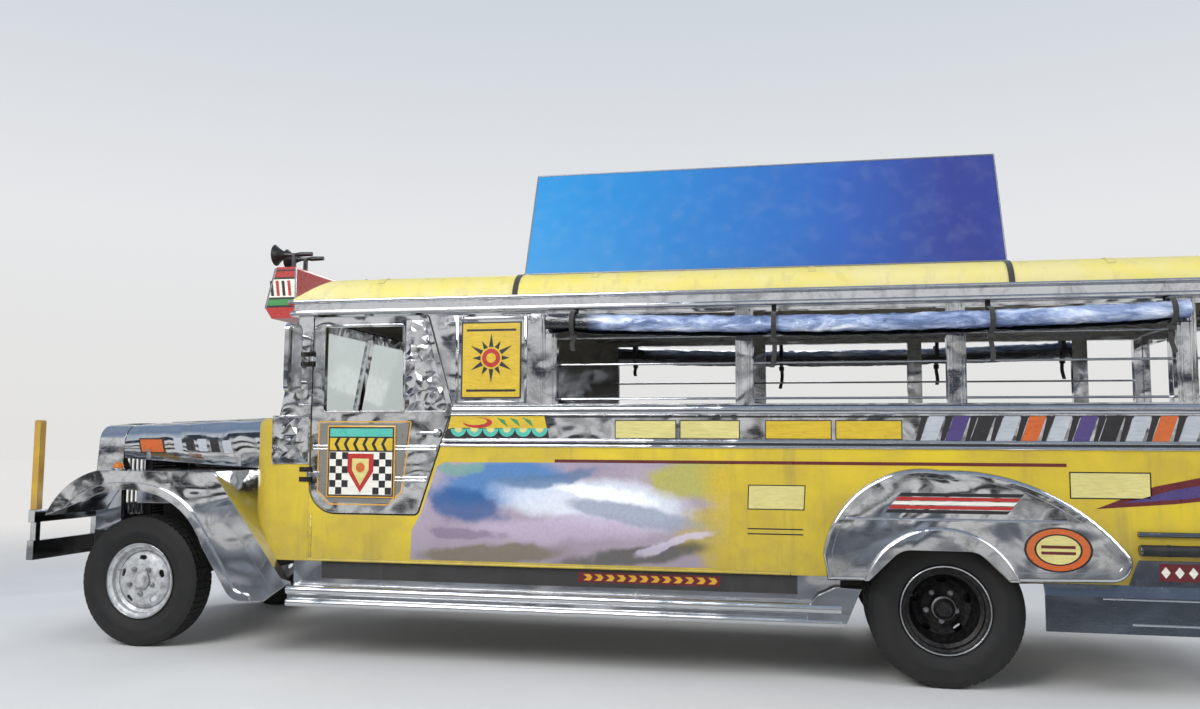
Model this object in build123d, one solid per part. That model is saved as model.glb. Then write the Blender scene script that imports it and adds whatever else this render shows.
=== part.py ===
from build123d import *
import os
from math import hypot, sqrt

# A long-bodied jeepney. X runs forward, Y to the left, Z up; the ground is Z = 0 and all sizes are in mm.
# The origin is on the ground, halfway along the vehicle, on its centre plane.

# Stations along the vehicle: the front ones measured from the front axle, the rear ones from the rear axle
wheelbase = 4400
front_overhang = 680
rear_overhang = 1820
cowl_setback = 670
door_setback = 1090
first_post_setback = 2430
body_rear_overhang = 1500
rear_bay_half = 410
bays = 3

overall_length = front_overhang + wheelbase + rear_overhang
nose_x = overall_length / 2
tail_x = -overall_length / 2
front_axle_x = nose_x - front_overhang
rear_axle_x = front_axle_x - wheelbase
cowl_x = front_axle_x - cowl_setback
door_front_x = front_axle_x - door_setback
body_rear_x = rear_axle_x - body_rear_overhang
first_post_x = front_axle_x - first_post_setback
bay_pitch = (first_post_x - body_rear_x - rear_bay_half) / bays

# Heights
axle_z = 370
board_top_z = 400
frame_bottom_z = 500
frame_height = 120
floor_thickness = 20
body_bottom_z = 525
belt_z = 1300
belt_height = 70
cowl_top_z = 1300
window_height = 490
cant_height = 85
roof_side_rise = 130
roof_crown_rise = 40
sill_z = belt_z + belt_height
header_z = sill_z + window_height
eaves_z = header_z + cant_height
frame_top_z = frame_bottom_z + frame_height
floor_z = frame_top_z + floor_thickness
roof_shoulder_z = eaves_z + roof_side_rise
roof_top_z = roof_shoulder_z + roof_crown_rise

# Widths, as distances from the centre plane
body_y = 930
skin = 25
inner_y = body_y - skin
board_y = 1000
frame_outer_y = 440
frame_flange = 60
frame_wall = 8
frame_inner_y = frame_outer_y - frame_flange
sheet = 6
seat_gap = 0.3

# Wheels: 7.00-15 tyres on 15 inch rims, single in front and twinned behind
tyre_radius = 370
tyre_width = 190
rim_radius = 213
rim_wall = 6
front_wheel_y = 745
outer_wheel_y = 785
inner_wheel_y = 555
hub_radius = 52
spindle_radius = 24
running_clearance = 0.05
kingpin_y = 600
kingpin_radius = 16


def block(x0, x1, y0, y1, z0, z1):
    """A box between two values on each axis."""
    box = Box(abs(x1 - x0), abs(y1 - y0), abs(z1 - z0))
    return Pos((x0 + x1) / 2, (y0 + y1) / 2, (z0 + z1) / 2) * box


def outline(*points):
    return make_face(Polyline(*points, close=True))


def across(x):
    """The plane across the vehicle at x, with Y to its right and Z up."""
    return Plane(origin=(x, 0, 0), x_dir=(0, 1, 0), z_dir=(1, 0, 0))


def along_x(face, x0, x1):
    """Extrude a face drawn in Y and Z from x0 to x1."""
    return extrude(across(x0) * face, x1 - x0)


def along_y(face, y0, y1):
    """Extrude a face drawn in X and Z from y0 to y1."""
    return extrude(Plane(origin=(0, y1, 0), x_dir=(1, 0, 0), z_dir=(0, -1, 0)) * face, y1 - y0)


def along_z(face, z0, z1):
    """Extrude a face drawn in X and Y from z0 to z1."""
    return extrude(Pos(0, 0, z0) * face, z1 - z0)


def rod(start, end, radius):
    """A round bar between two points."""
    start, end = Vector(*start), Vector(*end)
    run = end - start
    return extrude(Plane(origin=start, z_dir=run) * Circle(radius), run.length)


def turned(face, y, x, z):
    """Revolve a face of (radius, offset) points about an axis along Y through x and z."""
    return revolve(Plane(origin=(x, y, z), x_dir=(1, 0, 0), z_dir=(0, 0, 1)) * face,
                   Axis((x, y, z), (0, 1, 0)))


def rounded(face, radius, points):
    """Round the corners of a face that lie nearest to the given points."""
    corners = []
    for point in points:
        corners.append(min(face.vertices(), key=lambda v: hypot(v.X - point[0], v.Y - point[1])))
    return fillet(corners, radius)


def both_sides(shape):
    return [shape, mirror(shape, about=Plane.XZ)]


# Ladder frame
rail_front_x = nose_x - 80
rail_rear_x = tail_x + 60
cross_width = 60
cross_wall = 8
front_spring_half = 430
rear_spring_half = 520
hanger_length = 60
hanger_drop = 32
bumper_cross_x = front_axle_x + 450
cowl_cross_x = cowl_x - 90
tunnel_cross_x = front_axle_x - 2200
tank_cross_x = rear_axle_x + 800
axle_cross_x = rear_axle_x - 600
cross_xs = (bumper_cross_x, cowl_cross_x, tunnel_cross_x, tank_cross_x, axle_cross_x, body_rear_x)


def frame_rail():
    """A channel, open towards the centre plane."""
    bar = block(rail_rear_x, rail_front_x, frame_inner_y, frame_outer_y, frame_bottom_z, frame_top_z)
    hollow = block(rail_rear_x, rail_front_x, frame_inner_y, frame_outer_y - frame_wall,
                   frame_bottom_z + frame_wall, frame_top_z - frame_wall)
    return bar - hollow


def cross_member(x):
    """A channel between the rails, open towards the rear."""
    reach = frame_outer_y - frame_wall
    low, high = frame_bottom_z + frame_wall, frame_top_z - frame_wall
    bar = block(x - cross_width / 2, x + cross_width / 2, -reach, reach, low, high)
    return bar - block(x - cross_width / 2, x + cross_width / 2 - cross_wall, -reach, reach,
                       low + cross_wall, high - cross_wall)


def chassis_frame():
    frame = Part() + both_sides(frame_rail())
    for x in cross_xs:
        frame += cross_member(x)
    for axle_x, half in ((front_axle_x, front_spring_half), (rear_axle_x, rear_spring_half)):
        for x in (axle_x - half, axle_x + half):
            hanger = block(x - hanger_length / 2, x + hanger_length / 2, frame_inner_y, frame_outer_y,
                           frame_bottom_z - hanger_drop, frame_bottom_z)
            frame += both_sides(hanger)
    return frame


# Leaf springs: stepped packs, resting on the axles and held under the hangers
leaf_count = 4
leaf_thickness_z = 9
leaf_step = 0.2
spring_rise = 12
spring_top_z = frame_bottom_z - hanger_drop
spring_bottom_z = spring_top_z - spring_rise - leaf_count * leaf_thickness_z


def leaf_spring(axle_x, half):
    """Each leaf lies under the one before and is shorter by a step."""
    pack = Part()
    for index in range(leaf_count):
        edges = []
        for drop in (index * leaf_thickness_z, (index + 1) * leaf_thickness_z):
            edges.append(ThreePointArc((axle_x - half, spring_top_z - drop),
                                       (axle_x, spring_top_z - spring_rise - drop),
                                       (axle_x + half, spring_top_z - drop)))
        ends = [Line(edges[0] @ 0, edges[1] @ 0), Line(edges[0] @ 1, edges[1] @ 1)]
        leaf = along_y(make_face(edges + ends), frame_inner_y, frame_outer_y)
        reach = half * (1 - index * leaf_step)
        pack += leaf & block(axle_x - reach, axle_x + reach, frame_inner_y, frame_outer_y, 0, frame_top_z)
    return pack


def leaf_springs():
    springs = both_sides(leaf_spring(front_axle_x, front_spring_half))
    springs += both_sides(leaf_spring(rear_axle_x, rear_spring_half))
    return Compound(children=springs)


# Front axle: an I-section beam with an eye at each end, and the steering knuckles
beam_height = 56
beam_width = 64
beam_flange = 14
beam_web = 20
eye_radius = 34
ear_thickness = 26
ear_gap = 2
knuckle_web = 24
spindle_length = 62


def front_axle():
    low, high = axle_z - beam_height / 2, axle_z + beam_height / 2
    front, rear = front_axle_x + beam_width / 2, front_axle_x - beam_width / 2
    beam = block(rear, front, -kingpin_y, kingpin_y, low, high)
    pad = block(rear, front, frame_inner_y, frame_outer_y, high, spring_bottom_z)
    reach = frame_inner_y - beam_flange
    for near, far in ((front_axle_x + beam_web / 2, front), (rear, front_axle_x - beam_web / 2)):
        beam -= block(near, far, -reach, reach, low + beam_flange, high - beam_flange)
    eye = Pos(front_axle_x, kingpin_y, axle_z) * Cylinder(eye_radius, beam_height)
    bore = Pos(front_axle_x, kingpin_y, axle_z) * Cylinder(kingpin_radius + running_clearance, beam_height)
    return (beam + both_sides(pad) + both_sides(eye)) - both_sides(bore)


def knuckle():
    """A fork round the beam's eye, with the kingpin through it and the wheel's spindle outside."""
    inner_z = axle_z + beam_height / 2 + ear_gap
    outer_z = inner_z + ear_thickness
    web_y = kingpin_y + eye_radius + 3 * ear_gap
    shape = Pos(front_axle_x, kingpin_y, axle_z) * Cylinder(kingpin_radius, 2 * (outer_z - axle_z))
    for low, high in ((inner_z, outer_z), (2 * axle_z - outer_z, 2 * axle_z - inner_z)):
        ear = Pos(front_axle_x, kingpin_y, (low + high) / 2) * Cylinder(eye_radius, high - low)
        neck = block(front_axle_x - eye_radius, front_axle_x + eye_radius, kingpin_y, web_y, low, high)
        shape += ear + neck
    shape += block(front_axle_x - eye_radius, front_axle_x + eye_radius, web_y, web_y + knuckle_web,
                   2 * axle_z - outer_z, outer_z)
    spindle_end_y = front_wheel_y + spindle_length
    return shape + rod((front_axle_x, web_y, axle_z), (front_axle_x, spindle_end_y, axle_z), spindle_radius)


# Rear axle with its differential, and the stub ends that carry the twin wheels
tube_radius = 46
housing_radius = 150
housing_nose_radius = 62
housing_nose_length = 190
stub_start_y = 470
stub_end_y = outer_wheel_y + 20


def rear_axle():
    tube = rod((rear_axle_x, -stub_start_y, axle_z), (rear_axle_x, stub_start_y, axle_z), tube_radius)
    stub = rod((rear_axle_x, -stub_end_y, axle_z), (rear_axle_x, stub_end_y, axle_z), spindle_radius)
    housing = Pos(rear_axle_x, 0, axle_z) * Sphere(housing_radius)
    nose = rod((rear_axle_x, 0, axle_z), (rear_axle_x + housing_nose_length, 0, axle_z), housing_nose_radius)
    pad = block(rear_axle_x - beam_width / 2, rear_axle_x + beam_width / 2, frame_inner_y, frame_outer_y,
                axle_z, spring_bottom_z)
    return tube + stub + housing + nose + both_sides(pad)


# Rims, discs, hubs and tyres
bead_seat_radius = 193
flange_half = 75
well_half = 26
drop_radius = 172
barrel_points = ((rim_radius, flange_half), (205, 66), (bead_seat_radius, 60), (190, 36),
                 (drop_radius, well_half),
                 (drop_radius, -well_half), (190, -36), (bead_seat_radius, -60), (205, -66),
                 (rim_radius, -flange_half))
hand_holes = 5
hand_hole_length = 46
hand_hole_width = 26
hand_hole_circle = 128
disc_wall = 9
disc_bend = 10
hub_length = 120
hub_cap_radius = 36
hub_cap_length = 22


def rim_barrel(y, x):
    inner = [(radius - rim_wall, offset) for radius, offset in reversed(barrel_points)]
    return turned(outline(*barrel_points, *inner), y, x, axle_z)


def disc(y, x, profile):
    """A pressed disc from the barrel to the hub, with soft bends and oblong hand holes."""
    face_line = FilletPolyline(*profile, radius=disc_bend)
    back_line = Pos(0, -disc_wall) * face_line
    ends = [Line(face_line @ 0, back_line @ 0), Line(face_line @ 1, back_line @ 1)]
    plate = turned(make_face(face_line.edges() + back_line.edges() + ends), y, x, axle_z)
    for index in range(hand_holes):
        hole = extrude(SlotOverall(hand_hole_length, hand_hole_width), 3 * disc_wall, both=True)
        hole = Pos(0, hand_hole_circle, 0) * hole
        hole = Rot(0, 0, 360 / hand_holes * index) * hole
        middle = profile[2][1]
        plate -= Pos(x, y + middle, axle_z) * Rot(90, 0, 0) * hole
    return plate


front_disc = ((168, 14), (158, 30), (138, 46), (96, 56), (hub_radius, 52))
outer_disc = ((168, -20), (158, -40), (138, -74), (96, -98), (hub_radius, -100))


def front_wheel():
    wheel = rim_barrel(front_wheel_y, front_axle_x) + disc(front_wheel_y, front_axle_x, front_disc)
    bore = spindle_radius + running_clearance
    inner, outer = -hub_cap_radius, spindle_length
    hub = outline((bore, inner), (hub_radius, inner), (hub_radius, outer),
                  (hub_cap_radius, outer + hub_cap_length),
                  (0, outer + hub_cap_length), (0, outer + 2), (bore, outer + 2))
    return wheel + turned(hub, front_wheel_y, front_axle_x, axle_z)


def rear_wheels():
    """Twin wheels, their discs back to back and the hub through both."""
    middle = (outer_wheel_y + inner_wheel_y) / 2
    wheel = rim_barrel(outer_wheel_y, rear_axle_x) + disc(outer_wheel_y, rear_axle_x, outer_disc)
    inner_wheel = rim_barrel(outer_wheel_y, rear_axle_x) + disc(outer_wheel_y, rear_axle_x, outer_disc)
    wheel += mirror(inner_wheel, about=Plane.XZ.offset(-middle))
    reach = stub_end_y - middle + 2
    bore = spindle_radius + running_clearance
    hub = outline((bore, -hub_length), (hub_radius, -hub_length), (hub_radius, reach),
                  (hub_cap_radius, reach + hub_cap_length), (0, reach + hub_cap_length), (0, reach), (bore,
                                                                                                      reach))
    return wheel + turned(hub, middle, rear_axle_x, axle_z)


bead_half = 58
tyre_flange_step = 20
tread_edge = 20
shoulder_drop = 24


def tyre(y, x):
    """A crowned tread between round shoulders, and side walls that bulge past the rim."""
    half = tyre_width / 2
    bead = bead_seat_radius + seat_gap
    side = (tyre_radius + bead) / 2
    tread_half = half - tread_edge
    shoulder = (tyre_radius - shoulder_drop, half - tread_edge / 4)
    edges = [Line((bead, -bead_half), (bead, bead_half)),
             ThreePointArc((tyre_radius - 3, tread_half), (tyre_radius, 0), (tyre_radius - 3, -tread_half))]
    for sign in (1, -1):
        foot = (bead + tyre_flange_step, sign * (bead_half + 4))
        edges += [Line((bead, sign * bead_half), foot),
                  ThreePointArc(foot, (side, sign * half), (shoulder[0], sign * shoulder[1])),
                  ThreePointArc((shoulder[0], sign * shoulder[1]),
                                (tyre_radius - shoulder_drop / 3, sign * (half - tread_edge / 2 - 1)),
                                (tyre_radius - 3, sign * tread_half))]
    return turned(make_face(edges), y, x, axle_z)


# Engine, drive line, exhaust and fuel tank
engine_width = 520
engine_length = 810
engine_lead = 250
engine_bottom_z = 400
engine_top_z = 1000
mount_inset = 200
mount_half = 30
mount_height = 42
engine_front_x = front_axle_x + engine_lead
engine_rear_x = engine_front_x - engine_length
shaft_radius = 34
shaft_start_z = axle_z + 92
flange_length = 25
exhaust_y = 190
exhaust_z = 450
pipe_radius = 24
silencer_radius = 55
silencer_length = 500
strap_half = 10
pipe_end_inset = 420
tank_length = 700
tank_width = 260
tank_bottom_z = 430
tank_corner = 40


def engine_block():
    """The engine as one plain block, on arms that stand on the frame's lower flanges."""
    shape = block(engine_rear_x, engine_front_x, -engine_width / 2, engine_width / 2, engine_bottom_z,
                  engine_top_z)
    reach = frame_outer_y - frame_wall
    low = frame_bottom_z + frame_wall
    for x in (engine_front_x - mount_inset, engine_rear_x + mount_inset):
        shape += block(x - mount_half, x + mount_half, -reach, reach, low, low + mount_height)
    return shape


def propeller_shaft():
    start = (engine_rear_x - 1, 0, shaft_start_z)
    end = (rear_axle_x + housing_nose_length / 2, 0, axle_z)
    shaft = rod(start, end, shaft_radius)
    flange = rod((engine_rear_x - flange_length, 0, shaft_start_z), (engine_rear_x, 0, shaft_start_z),
                 2 * shaft_radius)
    return (shaft + flange) - rear_axle()


def fuel_tank():
    """A tank hung inside the right-hand rail."""
    front = tunnel_cross_x - 3 * cross_width
    tank = block(front - tank_length, front, -frame_inner_y, tank_width - frame_inner_y, tank_bottom_z,
                 frame_top_z)
    return fillet(tank.edges().filter_by(Axis.X).group_by(Axis.Z)[0], tank_corner)


def exhaust():
    """A pipe and silencer on hangers under the cross members."""
    rear = tail_x + pipe_end_inset
    middle = (cowl_cross_x + tank_cross_x) / 2
    pipe = rod((engine_rear_x, exhaust_y, exhaust_z), (rear, exhaust_y, exhaust_z), pipe_radius)
    silencer = rod((middle - silencer_length / 2, exhaust_y, exhaust_z),
                   (middle + silencer_length / 2, exhaust_y, exhaust_z), silencer_radius)
    pipe += fillet(silencer.edges(), silencer_radius / 3)
    for x in (cowl_cross_x, tank_cross_x):
        pipe += block(x - strap_half, x + strap_half, exhaust_y - strap_half, exhaust_y + strap_half,
                      exhaust_z, frame_bottom_z + frame_wall)
    return pipe


# Cowl, floor and sides
cowl_corner = 280
cowl_wall = 20
cowl_top_radius = 50
wheel_box_half = 420
wheel_box_top_z = 800
wheel_box_wall = 10
arch_lead = 38
arch_half_low = 340
arch_half_top = 175
arch_low_z = 505
arch_top_z = 668
arch_corner = 110
arch_foot = 60


def cowl_plan(inset=0):
    """The cowl seen from above: a flat front and a wide round corner to each side."""
    front = cowl_x - inset
    side = body_y - inset
    corner = cowl_corner - inset
    turn = corner * (1 - sqrt(0.5))
    edges = [Line((front, side - corner), (front, corner - side)),
             Line((door_front_x, side), (door_front_x, -side))]
    for sign in (1, -1):
        edges.append(ThreePointArc((front, sign * (side - corner)), (front - turn, sign * (side - turn)),
                                   (front - corner, sign * side)))
        edges.append(Line((front - corner, sign * side), (door_front_x, sign * side)))
    return make_face(edges)


def cowl():
    shell = along_z(cowl_plan(), body_bottom_z, cowl_top_z)
    top_edges = [e for e in shell.faces().sort_by(Axis.Z)[-1].edges() if e.center().X > door_front_x + 1]
    shell = fillet(top_edges, cowl_top_radius)
    shell -= along_z(cowl_plan(cowl_wall), body_bottom_z, cowl_top_z - cowl_wall)
    return shell - block(cowl_x - cowl_wall, cowl_x, -frame_outer_y, frame_outer_y, body_bottom_z,
                         frame_top_z)


def wheel_box(grow=0):
    return block(rear_axle_x - wheel_box_half - grow, rear_axle_x + wheel_box_half + grow,
                 frame_outer_y - grow, inner_y, frame_top_z, wheel_box_top_z + grow)


def floor():
    plate = block(body_rear_x, door_front_x, -inner_y, inner_y, frame_top_z, floor_z)
    plate += along_z(cowl_plan(cowl_wall), frame_top_z, floor_z)
    plate += both_sides(wheel_box(wheel_box_wall))
    return plate - both_sides(wheel_box())


# Doors: the outline runs straight down the front, round the lower corner, and slants at the back
door_gap = 8
door_thickness = 35
door_bottom_z = 785
door_top_width = 660
door_belt_width = 805
door_belt_rise = 60
door_bottom_width = 620
door_corner = 150
door_edge_radius = 30
window_setback = 68
window_top_width = 450
window_bottom_width = 462
window_head = 55
door_window_bottom_z = 1335
window_corner = 12
reveal_width = 10
reveal_depth = 4
quarter_setback = 535
quarter_margin = 26
door_rib_radius = 5
door_rib_pitch = 18
door_rib_zs = (961, 1128)
handle_setback = 725
handle_z = 1215


def door_outline():
    front = door_front_x - door_gap
    top = header_z - door_gap
    points = ((front, top), (front - door_top_width, top), (front - door_belt_width, belt_z + door_belt_rise),
              (front - door_bottom_width, door_bottom_z), (front, door_bottom_z))
    face = rounded(outline(*points), door_corner, [points[4]])
    return rounded(face, door_edge_radius, [points[1], points[2], points[3]])


def door_opening():
    """The doorway's outline, larger than the door by the gap all round."""
    return offset(door_outline(), door_gap)


def door_window():
    front = door_front_x - door_gap - window_setback
    top = header_z - door_gap - window_head
    points = ((front, top), (front - window_top_width, top), (front - window_bottom_width,
                                                              door_window_bottom_z),
              (front, door_window_bottom_z))
    return rounded(outline(*points), window_corner, points)


def quarter_panel():
    """The pressed panel between the window and the slanting rear edge."""
    front = door_front_x - door_gap - quarter_setback
    strip = outline((front, header_z), (front - door_belt_width, header_z),
                    (front - door_belt_width, door_window_bottom_z), (front, door_window_bottom_z))
    return offset(door_outline(), -quarter_margin) & strip


hinge_zs = (990, 1620)
hinge_height = 80
barrel_radius = 11
pin_radius = 6
hinge_x = door_front_x - door_gap / 2
hinge_y = body_y + barrel_radius + 1
leaf_length = 60
leaf_thickness = 5


def hinge_barrel(z0, z1):
    return Pos(hinge_x, hinge_y, (z0 + z1) / 2) * Cylinder(barrel_radius, z1 - z0)


def door():
    """The left door: its skin's frame, ribs and pressed panel, and the moving barrels of its hinges."""
    face = door_outline() - door_window()
    panel = along_y(face, body_y - door_thickness, body_y)
    reveal = offset(door_window(), reveal_width) - door_window()
    panel += along_y(reveal, body_y, body_y + reveal_depth)
    panel -= along_y(quarter_panel(), body_y - reveal_depth, body_y)
    slab = along_y(offset(door_outline(), -reveal_width), body_y, body_y + door_rib_radius)
    for z in door_rib_zs:
        for level in (z, z + door_rib_pitch):
            rib = rod((door_front_x, body_y, level), (door_front_x - door_belt_width, body_y, level),
                      door_rib_radius)
            clear = block(hinge_x - 2 * leaf_length, hinge_x, body_y, hinge_y, 0, hinge_zs[0] + hinge_height)
            panel += (rib & slab) - clear
    handle_x = door_front_x - handle_setback
    panel += rod((handle_x, body_y, handle_z), (handle_x, body_y + 4 * reveal_depth, handle_z),
                 2 * barrel_radius)
    for z in hinge_zs:
        low, high = z - hinge_height / 6, z + hinge_height / 6
        leaf = block(hinge_x - leaf_length, hinge_x, body_y, body_y + leaf_thickness, low, high)
        neck = block(hinge_x - barrel_radius, hinge_x, body_y, hinge_y, low, high)
        panel += leaf + neck + hinge_barrel(low, high)
        panel -= Pos(hinge_x, hinge_y, z) * Cylinder(pin_radius + running_clearance, high - low)
    return panel


def door_hinges():
    """The fixed barrels above and below each moving one, with the pin through all three."""
    hinges = []
    third = hinge_height / 6
    for z in hinge_zs:
        hinge = Pos(hinge_x, hinge_y, z) * Cylinder(pin_radius, hinge_height)
        for low, high in ((z - 3 * third, z - third - 1), (z + third + 1, z + 3 * third)):
            hinge += hinge_barrel(low, high)
            hinge += block(hinge_x, hinge_x + leaf_length, body_y, body_y + leaf_thickness, low, high)
            hinge += block(hinge_x, hinge_x + barrel_radius, body_y, hinge_y, low, high)
        hinges += both_sides(hinge)
    return hinges


# Side walls: the painted panel below the belt, and the bright frame of the windows above it
post_width = 90
post_depth = 50
post_rib_radius = 5
post_rib_insets = (9, 24)
lintel = 20
bar_radius = 6
bar_heights = (28, 208, 348)
posts = [first_post_x - index * bay_pitch for index in range(bays + 1)]
belt_bulge = 12
belt_lip = 16
band_low_z = 1152
band_thickness = 3
band_bead_radius = 9
hem_radius = 7


def arch_profile():
    """The wheel opening shared by the side panel and the rear fender."""
    middle = rear_axle_x + arch_lead
    base = body_bottom_z - 2 * arch_foot
    points = ((middle - arch_half_low, base), (middle - arch_half_low, arch_low_z),
              (middle - arch_half_top, arch_top_z), (middle + arch_half_top, arch_top_z),
              (middle + arch_half_low, arch_low_z), (middle + arch_half_low, base))
    face = rounded(outline(*points), arch_corner, points[2:4])
    return rounded(face, arch_foot, [points[1], points[4]])


def side_panel():
    face = outline((door_front_x, body_bottom_z), (door_front_x, belt_z), (body_rear_x, belt_z),
                   (body_rear_x, body_bottom_z))
    panel = along_y(face - door_opening() - arch_profile(), inner_y, body_y)
    front = rear_axle_x + arch_lead + arch_half_low + 2 * arch_foot + bubble_front_reach
    z = body_bottom_z + hem_radius
    return panel + rod((front, body_y, z), (door_front_x, body_y, z), hem_radius)


def belt_rail():
    """The window sill's rail: a rolled bulge along the outside of the belt."""
    middle = (belt_z + sill_z) / 2
    low, high = belt_z + belt_lip, sill_z - belt_lip / 2
    bulge = make_face([ThreePointArc((body_y, low), (body_y + belt_bulge, middle), (body_y, high)),
                       Line((body_y, low), (body_y, high))])
    return along_x(bulge, body_rear_x, door_front_x)


def belt_band():
    """A bright band under the sill rail, laid on the panel, with a bead along its lower edge."""
    band = block(body_rear_x, door_front_x, body_y, body_y + band_thickness, band_low_z, belt_z + belt_lip)
    for z in (band_low_z, band_low_z + 3 * band_bead_radius):
        bead = rod((body_rear_x, body_y, z), (door_front_x, body_y, z), band_bead_radius)
        band += bead & block(body_rear_x, door_front_x, body_y, body_y + band_bead_radius, 0, belt_z)
    return band


def window_frame():
    """Belt rail, posts and the closed panel behind the door, under the cant rail."""
    face = outline((door_front_x - door_top_width, belt_z), (door_front_x - door_top_width, header_z),
                   (body_rear_x, header_z), (body_rear_x, belt_z))
    face -= door_opening()
    edges = posts + [body_rear_x + post_width]
    top = header_z - lintel
    for front, back in zip(edges, edges[1:]):
        start = front - post_width / 2
        end = back + post_width / 2 if back != edges[-1] else back
        face -= outline((start, sill_z), (start, top), (end, top), (end, sill_z))
    frame = along_y(face, body_y - post_depth, body_y)
    outside = along_y(outline((door_front_x - door_bottom_width, 0),
                              (door_front_x - door_bottom_width, header_z),
                              (body_rear_x, header_z), (body_rear_x, 0)) - door_opening(), body_y, board_y)
    frame += (belt_rail() + belt_band()) & outside
    for post in posts:
        for inset in post_rib_insets:
            for x in (post - post_width / 2 + inset, post + post_width / 2 - inset):
                rib = rod((x, body_y, sill_z), (x, body_y, header_z), post_rib_radius)
                frame += rib & block(x - 2 * inset, x + 2 * inset, body_y, board_y, sill_z, header_z)
    return frame


def window_bars():
    """Rods across the bays, seated on the inside of the posts."""
    y = body_y - post_depth - bar_radius - seat_gap
    bars = [rod((posts[0], y, sill_z + rise), (body_rear_x + post_width, y, sill_z + rise), bar_radius)
            for rise in bar_heights]
    return Compound(children=bars)


# Windscreen
screen_rake = 100
screen_depth = 40
screen_border = 55
screen_foot_x = front_axle_x - 895
glass_thickness = 5
pillar_radius = 20
apron_front_x = front_axle_x - 865
apron_low_z = 1045
apron_thickness = 4
apron_lap = 10


def screen_plane():
    run = header_z - cowl_top_z
    return Plane(origin=(screen_foot_x, 0, cowl_top_z), x_dir=(0, 1, 0), z_dir=(run, 0, screen_rake))


def screen_pane(side, grow=0):
    """One light of the two-part windscreen, drawn in the raked plane."""
    height = hypot(header_z - cowl_top_z, screen_rake)
    width = inner_y - post_depth - screen_border
    low, high = screen_border - grow, height - screen_border + grow
    start, end = screen_border / 2 - grow, width + grow
    return outline((side * start, low), (side * start, high), (side * end, high), (side * end, low))


def windshield_frame():
    """A raked frame with a centre bar, side walls back to the doors, and an apron down each cowl side."""
    height = hypot(header_z - cowl_top_z, screen_rake)
    half = body_y
    face = outline((-half, 0), (-half, height), (half, height), (half, 0))
    face = face - screen_pane(1) - screen_pane(-1)
    frame = extrude(screen_plane() * face, -screen_depth)
    side = along_y(outline((screen_foot_x, cowl_top_z), (screen_foot_x - screen_rake, header_z),
                           (door_front_x, header_z), (door_front_x, cowl_top_z)),
                   body_y - post_depth, body_y)
    frame += both_sides(side)
    frame = frame & block(door_front_x, screen_foot_x + 2 * screen_rake, -half, half, cowl_top_z, header_z)
    corners = [e for e in frame.edges() if abs(abs(e.center().Y) - half) < 1 and e.length > height - 2
               and e.center().X > door_front_x + screen_rake / 2]
    frame = fillet(corners, pillar_radius)
    apron = block(door_front_x, apron_front_x, half, half + apron_thickness, apron_low_z, cowl_top_z + apron_lap)
    shoulder = block(door_front_x, screen_foot_x - pillar_radius - screen_rake, half - skin,
                     half + apron_thickness,
                     cowl_top_z, cowl_top_z + belt_height)
    return frame + both_sides(apron) + both_sides(shoulder)


def windshield_glass():
    panes = []
    for side in (1, -1):
        plane = screen_plane().offset(-(screen_depth - glass_thickness) / 2)
        panes.append(extrude(plane * screen_pane(side, -seat_gap), -glass_thickness))
    return Compound(children=panes)


# Cant rail and roof
cant_front_x = front_axle_x - 990
cant_inner_y = body_y - post_depth
cant_steps = ((0, 25, 45), (25, 65, 28), (65, cant_height, 55))
cant_corner = 60
cant_lip_radius = 8
roof_overhang = 25
roof_shoulder_inset = 150
roof_front_run = 270
roof_rear_run = 170
roof_wall = 14
roof_nose_radius = 240


def cant_rail():
    """A ring round the roof's edge: a drip rail below, a band, and a wider lip on top."""
    length = cant_front_x - body_rear_x
    middle = (cant_front_x + body_rear_x) / 2
    ring = Part()
    for low, high, overhang in cant_steps:
        plan = Pos(middle, 0) * RectangleRounded(length + 2 * overhang, 2 * (body_y + overhang), cant_corner)
        tier = along_z(plan, header_z + low, header_z + high)
        if high - low < 3 * cant_lip_radius + 2:
            lips = tier.faces().sort_by(Axis.Z)
            tier = fillet(lips[0].edges() + lips[-1].edges(), cant_lip_radius)
        ring += tier
    hole = Pos(middle, 0) * Rectangle(length - 2 * post_depth, 2 * cant_inner_y)
    return ring - along_z(hole, header_z, eaves_z)


def roof_solid(inset=0):
    """The roof's outer form, moved inward by an inset: coved sides, a low crown, and sloping ends."""
    half = body_y + roof_overhang - inset
    shoulder = half - roof_shoulder_inset
    low, high = eaves_z, roof_shoulder_z - inset
    edges = [ThreePointArc((shoulder, high), (0, roof_top_z - inset), (-shoulder, high)),
             Line((half, low), (-half, low))]
    for sign in (1, -1):
        bend = (sign * (half - roof_shoulder_inset / 3), low + (high - low) * 2 / 3)
        edges.append(ThreePointArc((sign * half, low), bend, (sign * shoulder, high)))
    section = make_face(edges)
    front, rear = cant_front_x + roof_overhang - inset, body_rear_x - roof_overhang + inset
    top = roof_top_z + 1 - inset
    side = outline((front, low), (front - roof_front_run, top), (rear + roof_rear_run, top), (rear, low))
    side = rounded(side, roof_nose_radius, [(front - roof_front_run, top), (rear + roof_rear_run, top)])
    return along_x(section, rear, front) & along_y(side, -half, half)


def roof():
    return roof_solid() - roof_solid(roof_wall)


# Rear wall with the open entrance
entrance_half = 370
rear_wall = 40
rear_window_inset = 70
rear_head = 60
entrance_corner = 90


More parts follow.
